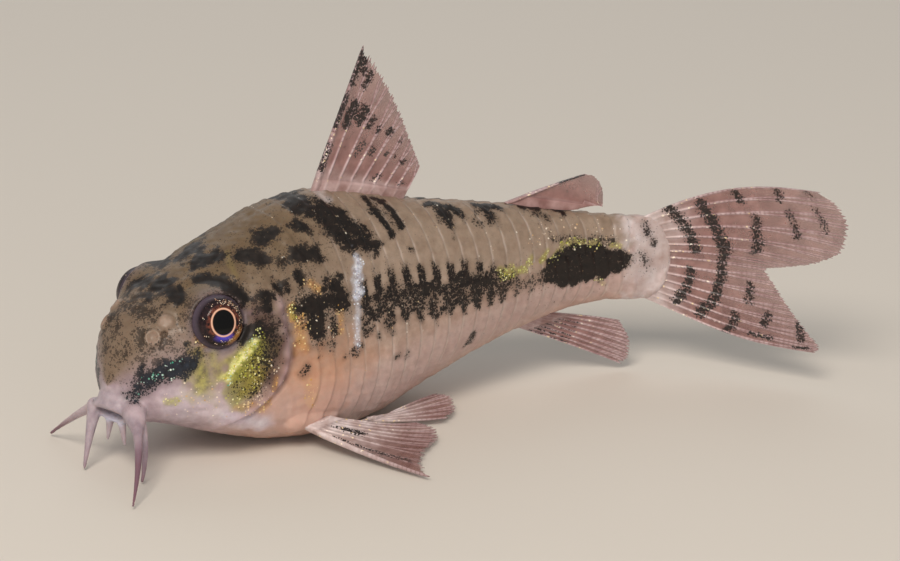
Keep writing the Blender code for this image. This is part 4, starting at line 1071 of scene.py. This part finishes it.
def fin_sheet(name, surface, rays, columns, rows, ink, root, base, ragged, seed):
    """A thin closed fin from surface(share, reach), with raised jointed rays and painted fields.

    root is how far in mm the sheet goes on inside the body. base is how thick its fleshy foot is in mm, how
    far along the reach the foot runs, how pale the root is and how far the paleness runs.
    """
    share = np.linspace(0, 1, columns)[:, None]
    draw = np.random.default_rng(seed)
    small = 2e-3
    start = -root / np.linalg.norm(surface(share, 1.0 + 0 * share) - surface(share, 0 * share), axis=-1)
    reach = start + (1 - start) * np.linspace(0, 1, rows)[None, :] ** 0.95
    share, reach = np.broadcast_arrays(share, reach)

    def across_at(here):
        return surface(np.minimum(share + small, 1), here) - surface(np.maximum(share - small, 0), here)

    breadth = np.linalg.norm(across_at(reach), axis=-1) / (2 * small)
    breadth[[0, -1]] *= 2
    tips = rays.relief(share[:, -1:], reach[:, -1:], breadth[:, -1:])
    end = 1 - ragged * (1 - tips) * draw.uniform(0.7, 1.3, (columns, 1)) - ragged * 0.3 * ramp(tips, 0, 1) * draw.random((columns, 1))
    here = np.where(reach > 0, reach * end, reach)
    ridge = rays.relief(share, reach, breadth) * (0.3 + 0.7 * ramp(here, 0.0, base[1] * 1.6))
    points = surface(share, here)
    out = np.cross(across_at(here), surface(share, here + small) - surface(share, here - small))
    out /= np.maximum(np.linalg.norm(out, axis=-1), 1e-12)[..., None]
    length = np.linalg.norm(np.diff(points, axis=1), axis=-1)
    travelled = np.concatenate([np.zeros((columns, 1)), np.cumsum(length, axis=1)], axis=1)
    joint = np.where(here > 0.25, (0.5 + 0.5 * np.cos(travelled / 0.28 * 2 * math.pi)) ** 6, 0.0)
    half = WEB_THICK / 2 * (1 - 0.3 * here) + RAY_THICK * (1 - 0.55 * np.clip(here, 0, 1)) * ridge * (1 - 0.25 * joint)
    if rays.spined:
        half = half + 0.09 * rays.relief(share, reach, breadth) * (share < rays.pitch * 0.5) * (1 - 0.7 * np.clip(here, 0, 1))
    round_off = np.sqrt(np.maximum(1 - (2 * share - 1) ** 2, 0.0))
    half = half + base[0] * round_off * (1 - ramp(here, -0.02, base[1]))
    half = half * np.minimum(1, 0.35 + (1 - np.linspace(0, 1, rows))[None, :] * 14)
    points = points + out * (0.05 * np.sin(share * 9 + seed) * np.clip(here, 0, 1) ** 2)[..., None]
    front, rear = points + out * half[..., None], points - out * half[..., None]
    count = columns * rows
    index = np.arange(count).reshape(columns, rows)
    quads = np.stack([index[:-1, :-1], index[1:, :-1], index[1:, 1:], index[:-1, 1:]], -1).reshape(-1, 4)
    lap = np.concatenate([index[:, 0], index[-1, 1:], index[-2::-1, -1], index[0, -2:0:-1]])
    step = np.roll(lap, -1)
    rim_faces = np.stack([step, lap, lap + count, step + count], -1)
    faces = np.concatenate([quads, quads[:, ::-1] + count, rim_faces])
    fields = {"ray": ridge, "joint": joint * ridge, "reach": np.clip(here, 0, 1)}
    fields["foot"] = 1 - ramp(here, base[1] * 0.1, base[1] * 0.9)
    fields["pale"] = base[2] * (1 - ramp(here, base[3] * 0.1, base[3] * 0.9))
    fields["ink"] = ink(share, here) if ink else np.zeros_like(ridge)
    fields = {key: np.tile(np.asarray(value, float).ravel(), 2) for key, value in fields.items()}
    both_sides = np.concatenate([front.reshape(-1, 3), rear.reshape(-1, 3)])
    both_sides[:, 2] = np.maximum(both_sides[:, 2], 0.0)
    return shape(name, both_sides, faces, fields)


def midline(root, tips, bow=0.0, side=0.0):
    """The sheet of a fin on the body's midline."""

    def surface(share, reach):
        root_station, root_height = root(share)
        tip_station, tip_height = tips(share)
        station = root_station + (tip_station - root_station) * reach
        height = root_height + (tip_height - root_height) * reach
        height = height + bow * (1 - 2 * share) * np.sin(math.pi * np.clip(reach, 0, 1))
        return place(station, side, height * BODY)

    return surface


def stroke(share, reach, line, width):
    """A dark mark along a line of (share, reach) stops, as wide as width in shares."""
    best = np.full(np.broadcast(share, reach).shape, 9.0)
    for (s0, r0), (s1, r1) in zip(line[:-1], line[1:]):
        ds, dr = s1 - s0, r1 - r0
        t = np.clip(((share - s0) * ds + (reach - r0) * dr) / max(ds * ds + dr * dr, 1e-9), 0, 1)
        best = np.minimum(best, np.hypot(share - s0 - ds * t, reach - r0 - dr * t))
    return 1 - ramp(best, width * 0.15, width * 1.75)


def marks(*strokes):
    """Several dark strokes on a fin, each (width, strength, stops)."""

    def ink(share, reach):
        total = np.zeros(share.shape)
        for width, strength, line in strokes:
            line = line if len(line) > 1 else line * 2
            total = np.maximum(total, strength * stroke(share, reach, line, width))
        return total

    return ink


DORSAL_TIPS = smooth((0.0, 0.12, 0.35, 0.7, 1.0), (0.524, 0.541, 0.577, 0.606, 0.622))
DORSAL_HEIGHTS = smooth((0.0, 0.12, 0.35, 0.7, 1.0), (0.598, 0.575, 0.510, 0.437, 0.388))
CAUDAL_SHARES = (0.0, 0.08, 0.16, 0.25, 0.35, 0.45, 0.52, 0.60, 0.70, 0.82, 0.93, 1.0)
CAUDAL_TIPS = smooth(
    CAUDAL_SHARES, (1.310, 1.346, 1.364, 1.354, 1.305, 1.248, 1.219, 1.238, 1.264, 1.294, 1.316, 1.308)
)
CAUDAL_HEIGHTS = smooth(
    CAUDAL_SHARES, (0.334, 0.315, 0.283, 0.242, 0.212, 0.197, 0.190, 0.164, 0.131, 0.098, 0.072, 0.062)
)
ANAL_TIPS = smooth((0.0, 0.25, 0.6, 1.0), (0.978, 0.990, 0.993, 0.975))
ANAL_HEIGHTS = smooth((0.0, 0.25, 0.6, 1.0), (0.010, 0.020, 0.048, 0.086))


def back_root(start, end):
    def root(share):
        station = start + (end - start) * share
        return station, BACK(station) + 0.45 / BODY
    return root


def belly_root(share):
    station = 0.808 + (0.886 - 0.808) * share
    return station, BELLY(station) - 0.45 / BODY


def caudal_root(share):
    return 1.009 + 0 * share, 0.262 - 0.136 * share


DORSAL = midline(back_root(0.435, 0.600), lambda s: (DORSAL_TIPS(s), DORSAL_HEIGHTS(s)))
ADIPOSE_TIPS = smooth((0.0, 0.2, 0.45, 0.7, 1.0), (0.914, 0.928, 0.939, 0.945, 0.943))
ADIPOSE_HEIGHTS = smooth((0.0, 0.2, 0.45, 0.7, 1.0), (0.338, 0.336, 0.324, 0.305, 0.281))
ADIPOSE = midline(back_root(0.800, 0.938), lambda s: (ADIPOSE_TIPS(s), ADIPOSE_HEIGHTS(s)))
ANAL = midline(belly_root, lambda s: (ANAL_TIPS(s), ANAL_HEIGHTS(s)))
CAUDAL = midline(caudal_root, lambda s: (CAUDAL_TIPS(s), CAUDAL_HEIGHTS(s)), bow=0.022)

DORSAL_INK = marks(
    (0.045, 0.9, ((0.02, 0.10), (0.02, 0.26))), (0.045, 1.0, ((0.0, 0.42), (0.01, 0.62))),
    (0.045, 1.0, ((0.02, 0.74), (0.03, 0.95))), (0.035, 1.0, ((0.09, 0.86), (0.06, 0.97))),
    (0.035, 0.9, ((0.13, 0.78), (0.15, 0.90))), (0.050, 1.0, ((0.10, 0.45), (0.12, 0.62))),
    (0.050, 1.0, ((0.19, 0.54), (0.21, 0.66))), (0.030, 0.9, ((0.28, 0.56), (0.30, 0.68))),
    (0.028, 0.9, ((0.37, 0.60), (0.38, 0.66))), (0.035, 1.0, ((0.47, 0.68), (0.49, 0.76))),
    (0.028, 0.8, ((0.62, 0.76), (0.63, 0.82))), (0.045, 0.7, ((0.30, 0.30), (0.31, 0.42))),
    (0.035, 0.8, ((0.42, 0.36), (0.43, 0.44))), (0.026, 0.8, ((0.56, 0.46), (0.57, 0.52))),
    (0.026, 0.8, ((0.66, 0.52), (0.67, 0.58))), (0.035, 0.9, ((0.77, 0.56), (0.79, 0.66))),
    (0.050, 0.7, ((0.60, 0.08), (0.64, 0.18))), (0.045, 0.6, ((0.88, 0.10), (0.90, 0.22))),
)
ANAL_INK = marks(*[
    (0.030, 0.8, ((share, 0.05), (share + 0.01, 0.42 - 0.16 * share))) for share in (0.04, 0.16, 0.28, 0.42, 0.56, 0.70)
])
CAUDAL_INK = marks(
    (0.034, 1.0, ((0.01, 0.13), (0.16, 0.18), (0.31, 0.25), (0.42, 0.35))),
    (0.036, 1.0, ((0.58, 0.36), (0.74, 0.27), (0.90, 0.18))),
    (0.036, 1.0, ((0.04, 0.29), (0.12, 0.29), (0.21, 0.34), (0.28, 0.38), (0.40, 0.51), (0.53, 0.64))),
    (0.036, 1.0, ((0.53, 0.64), (0.64, 0.53), (0.74, 0.46), (0.87, 0.34), (0.94, 0.31))),
    (0.029, 0.9, ((0.02, 0.49), (0.08, 0.48))), (0.031, 0.9, ((0.17, 0.53), (0.25, 0.55), (0.36, 0.65))),
    (0.031, 0.9, ((0.61, 0.79), (0.71, 0.69))), (0.031, 0.9, ((0.82, 0.55), (0.97, 0.47))),
    (0.026, 0.8, ((0.02, 0.73), (0.08, 0.68))), (0.026, 0.8, ((0.14, 0.70), (0.23, 0.75))),
    (0.029, 0.9, ((0.76, 0.79), (0.84, 0.71))), (0.029, 0.9, ((0.94, 0.60), (0.93, 0.71))),
    (0.023, 0.7, ((0.02, 0.90), (0.05, 0.87))), (0.023, 0.7, ((0.11, 0.84), (0.19, 0.88))),
    (0.026, 0.9, ((0.79, 0.97), (0.90, 0.89))), (0.023, 0.9, ((0.96, 0.93), (0.97, 0.86))),
)
PECTORAL_INK = marks(
    (0.035, 0.75, ((0.10, 0.10), (0.11, 0.40), (0.13, 0.85))), (0.030, 0.6, ((0.05, 0.20), (0.06, 0.60))),
    (0.100, 1.0, ((0.47, 0.15), (0.43, 0.30))), (0.03, 0.6, ((0.78, 0.70), (0.78, 0.76))),
)
PELVIC_INK = marks((0.05, 0.4, ((0.2, 0.5), (0.35, 0.6))))
ADIPOSE_INK = marks((0.05, 1.0, ((0.0, 0.62), (0.02, 0.95))))


class PairedFin:
    """The roots and tips of a paired fin. Tips are (station, side, height) at shares of its breadth."""

    def __init__(self, roots, root_heights, shares, tips):
        self.roots, self.root_heights = roots, root_heights
        self.tips = [smooth(shares, column) for column in zip(*tips)]
        ladder = np.linspace(0, 1, 60)
        start = [(self.roots[0] + (self.roots[1] - self.roots[0]) * s,
                  self.root_heights[0] + (self.root_heights[1] - self.root_heights[0]) * s) for s in ladder]
        sides = [flank(station, height + 0.32 / BODY) + 0.45 / BODY for station, height in start]
        self.start = [smooth(ladder, column) for column in (*zip(*start), sides)]

    def surface(self, hand):
        def at(share, reach):
            station, height, side = [column(share) for column in self.start]
            end = [tip(share) for tip in self.tips]
            spot_station = station + (end[0] - station) * reach
            spot_side = side + (end[1] - side) * reach
            spot_height = height + (end[2] - height) * np.sin(reach * math.pi / 2)
            return place(spot_station, hand * spot_side * BODY, spot_height * BODY)
        return at


PECTORAL = PairedFin(
    (0.336, 0.392), (0.034, 0.048), (0.0, 0.14, 0.35, 0.6, 0.8, 1.0),
    ((0.437, 0.358, 0.009), (0.462, 0.300, 0.009), (0.512, 0.245, 0.010),
     (0.546, 0.212, 0.012), (0.556, 0.184, 0.014), (0.538, 0.156, 0.018)),
)
PELVIC = PairedFin(
    (0.470, 0.505), (0.018, 0.020), (0.0, 0.35, 0.7, 1.0),
    ((0.600, 0.140, 0.010), (0.630, 0.112, 0.014), (0.640, 0.080, 0.020), (0.622, 0.062, 0.026)),
)


def tinted_fin_resin():
    """Clear resin tinted pink: the web lets half the light through, the pale rays and dark cells don't."""
    material = bpy.data.materials.new("tinted fin resin")
    material.use_nodes = True
    tree = material.node_tree
    shader = tree.nodes["Principled BSDF"]
    spot = add(tree, "TexCoord", out="Object")
    ray, ink, joint, reach = [
        add(tree, "Attribute", out="Fac", attribute_name=name) for name in ("ray", "ink", "joint", "reach")
    ]
    foot = add(tree, "Attribute", out="Fac", attribute_name="foot")
    cloud = add(tree, "TexNoise", {"Vector": spot, "Scale": 1000 / 0.7, "Detail": 4.0})
    cloud = add(tree, "MapRange", {0: cloud, 1: 0.3, 2: 0.7, 3: 0.0, 4: 1.0})
    web = add(tree, "Mix", {0: cloud, 6: linear("7b4c48"), 7: linear("a4756f")}, out=2, data_type="RGBA")
    bone = add(tree, "Mix", {0: cloud, 6: linear("ab8c8e"), 7: linear("d9c6ca")}, out=2, data_type="RGBA")
    body = add(tree, "Mix", {0: ray, 6: web, 7: bone}, out=2, data_type="RGBA")
    body = add(tree, "Mix", {0: joint, 6: body, 7: linear("7d5552")}, out=2, data_type="RGBA")
    flesh = add(tree, "Mix", {0: cloud, 6: linear("b39a94"), 7: linear("e6dbdc")}, out=2, data_type="RGBA")
    pale = add(tree, "Attribute", out="Fac", attribute_name="pale")
    body = add(tree, "Mix", {0: pale, 6: body, 7: flesh}, out=2, data_type="RGBA")
    cells = tree.nodes.new("ShaderNodeTexVoronoi")
    cells.inputs["Scale"].default_value = 1000 / 0.10
    tree.links.new(spot, cells.inputs["Vector"])
    lot = tree.nodes.new("ShaderNodeSeparateColor")
    tree.links.new(cells.outputs["Color"], lot.inputs[0])
    spread = add(tree, "Math", {0: lot.outputs[0], 1: 0.5, 2: cells.outputs["Distance"]}, operation="MULTIPLY_ADD")
    density = add(tree, "MapRange", {0: ink, 1: 0.0, 2: 1.0, 3: 0.06, 4: 1.05})
    room = add(tree, "Math", {0: density, 1: spread}, operation="SUBTRACT")
    dots = add(tree, "MapRange", {0: room, 1: -0.10, 2: 0.12, 3: 0.0, 4: 1.0})
    body = add(tree, "Mix", {0: dots, 6: body, 7: linear("1d1312")}, out=2, data_type="RGBA")
    # Painted glints: a few near-white and pale gold cells on the rays near the root.
    chance = add(tree, "MapRange", {0: reach, 1: 0.0, 2: 0.8, 3: 0.12, 4: 0.0})
    chance = add(tree, "Math", {0: chance, 1: ray}, operation="MULTIPLY")
    chance = add(tree, "Math", {0: chance, 1: lot.outputs[1]}, operation="ADD")
    lit = add(tree, "MapRange", {0: chance, 1: 1.0, 2: 1.03, 3: 0.0, 4: 1.0})
    glint = add(tree, "Mix", {0: lot.outputs[2], 6: linear("f8efe6"), 7: linear("ecd29c")}, out=2, data_type="RGBA")
    body = add(tree, "Mix", {0: lit, 6: body, 7: glint}, out=2, data_type="RGBA")
    tree.links.new(body, shader.inputs["Base Color"])
    # The web thins towards the fin's edge, and the foot is solid.
    clear = add(tree, "MapRange", {0: reach, 1: 0.0, 2: 1.0, 3: 0.78, 4: 0.46})
    solid = add(tree, "MapRange", {0: ray, 1: 0.15, 2: 0.75, 3: 0.0, 4: 0.30})
    alpha = add(tree, "Math", {0: clear, 1: solid}, operation="ADD")
    dark_cells = add(tree, "Math", {0: dots, 1: 0.93}, operation="MULTIPLY")
    alpha = add(tree, "Math", {0: alpha, 1: dark_cells}, operation="MAXIMUM")
    alpha = add(tree, "Math", {0: alpha, 1: foot}, operation="MAXIMUM")
    tree.links.new(alpha, shader.inputs["Alpha"])
    shader.inputs["Roughness"].default_value = 0.38
    shader.inputs["Coat Weight"].default_value = 0.15
    shader.inputs["Coat Roughness"].default_value = 0.20
    return material


fin_resin = tinted_fin_resin()
SMALL_FOOT = (0.16, 0.07, 0.90, 1.05)
FINS = (
    ("dorsal", DORSAL, Rays(9, spined=True), 210, 130, DORSAL_INK, 0.9, (0.20, 0.05, 0.4, 0.20), 0.05, ("dorsal_fin",)),
    ("adipose", ADIPOSE, Rays(2, spined=True), 70, 70, ADIPOSE_INK, 0.9, (0.12, 0.10, 0.2, 0.20), 0.03, ("adipose_fin",)),
    ("anal", ANAL, Rays(8), 170, 90, ANAL_INK, 0.9, (0.18, 0.08, 0.4, 0.25), 0.05, ("anal_fin",)),
    ("caudal", CAUDAL, Rays(15, first_fork=0.30, second_fork=0.58), 380, 150, CAUDAL_INK, 1.2, (0.20, 0.14, 1.0, 0.34), 0.025,
     ("tail_fin",)),
    ("pectoral_left", PECTORAL.surface(1), Rays(9, spined=True), 200, 110, PECTORAL_INK, 0.6, SMALL_FOOT, 0.06,
     ("pectoral_fin_left",)),
    ("pectoral_right", PECTORAL.surface(-1), Rays(9, spined=True), 200, 110, PECTORAL_INK, 0.6, SMALL_FOOT, 0.06,
     ("pectoral_fin_right",)),
    ("pelvic_left", PELVIC.surface(1), Rays(6), 130, 90, PELVIC_INK, 0.6, SMALL_FOOT, 0.06, ("pelvic_fin_left",)),
    ("pelvic_right", PELVIC.surface(-1), Rays(6), 130, 90, PELVIC_INK, 0.6, SMALL_FOOT, 0.06, ("pelvic_fin_right",)),
)
for number, (name, *drawn, nodes) in enumerate(FINS):
    fin = fin_sheet("fin_" + name, *drawn, seed=11 + number)
    fin.data.materials.append(fin_resin)
    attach(fin, "root")
    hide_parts(*nodes)


# Stand for the picture: a pale matt floor of painted board, three soft lamps and the camera.
floor_mesh = bpy.data.meshes.new("floor")
floor_mesh.from_pydata([(-4, -4, 0), (4, -4, 0), (4, 4, 0), (-4, 4, 0)], [], [(0, 1, 2, 3)])
floor = bpy.data.objects.new("floor", floor_mesh)
bpy.context.scene.collection.objects.link(floor)
board = bpy.data.materials.new("matt painted board")
board.use_nodes = True
board_shader = board.node_tree.nodes["Principled BSDF"]
board_shader.inputs["Base Color"].default_value = linear("d9d4cc")
board_shader.inputs["Roughness"].default_value = 0.85
floor.data.materials.append(board)
floor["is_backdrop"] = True

world = bpy.data.worlds.new("studio")
bpy.context.scene.world = world
world.use_nodes = True
world.node_tree.nodes["Background"].inputs["Color"].default_value = linear("e2e1df")
world.node_tree.nodes["Background"].inputs["Strength"].default_value = 0.42
bpy.context.scene.view_settings.view_transform = "Standard"

AIM = place(0.55, 0.0, 6.5) + SHIFT
for name, offset, size, power, tint in (
    ("key", (-170, -190, 260), 0.15, 0.95, "fff3e6"),
    ("fill", (-60, -330, 60), 0.26, 0.22, "f2f0f5"),
    ("rim", (90, 280, 230), 0.30, 0.20, "ffffff"),
):
    lamp = bpy.data.lights.new(name, "AREA")
    lamp.size = size
    lamp.energy = power
    lamp.color = linear(tint)[:3]
    lamp_object = bpy.data.objects.new(name, lamp)
    lamp_object.location = (AIM + offset) / 1000
    lamp_object.visible_glossy = name != "fill"
    towards = Vector(-np.array(offset, float))
    lamp_object.rotation_euler = towards.to_track_quat("-Z", "Y").to_euler()
    bpy.context.scene.collection.objects.link(lamp_object)

CAMERA_AZIMUTH, CAMERA_ELEVATION, CAMERA_DISTANCE = math.radians(-28), math.radians(18), 240.0
right = np.array([math.cos(CAMERA_AZIMUTH), math.sin(CAMERA_AZIMUTH), 0.0])
back = np.array([
    math.sin(CAMERA_AZIMUTH) * math.cos(CAMERA_ELEVATION),
    -math.cos(CAMERA_AZIMUTH) * math.cos(CAMERA_ELEVATION),
    math.sin(CAMERA_ELEVATION),
])
up = np.cross(back, right)
target = AIM + right * 3.686 + up * 0.31
camera = bpy.data.cameras.new("camera")
camera.lens = 182.86
camera.sensor_width = 36.0
camera.clip_start = 0.01
camera.clip_end = 20.0
camera_object = bpy.data.objects.new("camera", camera)
turn = Matrix([right, up, back]).transposed().to_4x4()
turn.translation = Vector((target + back * CAMERA_DISTANCE) / 1000)
camera_object.matrix_world = turn
bpy.context.scene.collection.objects.link(camera_object)
bpy.context.scene.camera = camera_object

# The two boxes side by side: the solids' and the dressed model's.
[[list(map(float, corner)) for corner in box] for box in (CAD_BOX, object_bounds())]
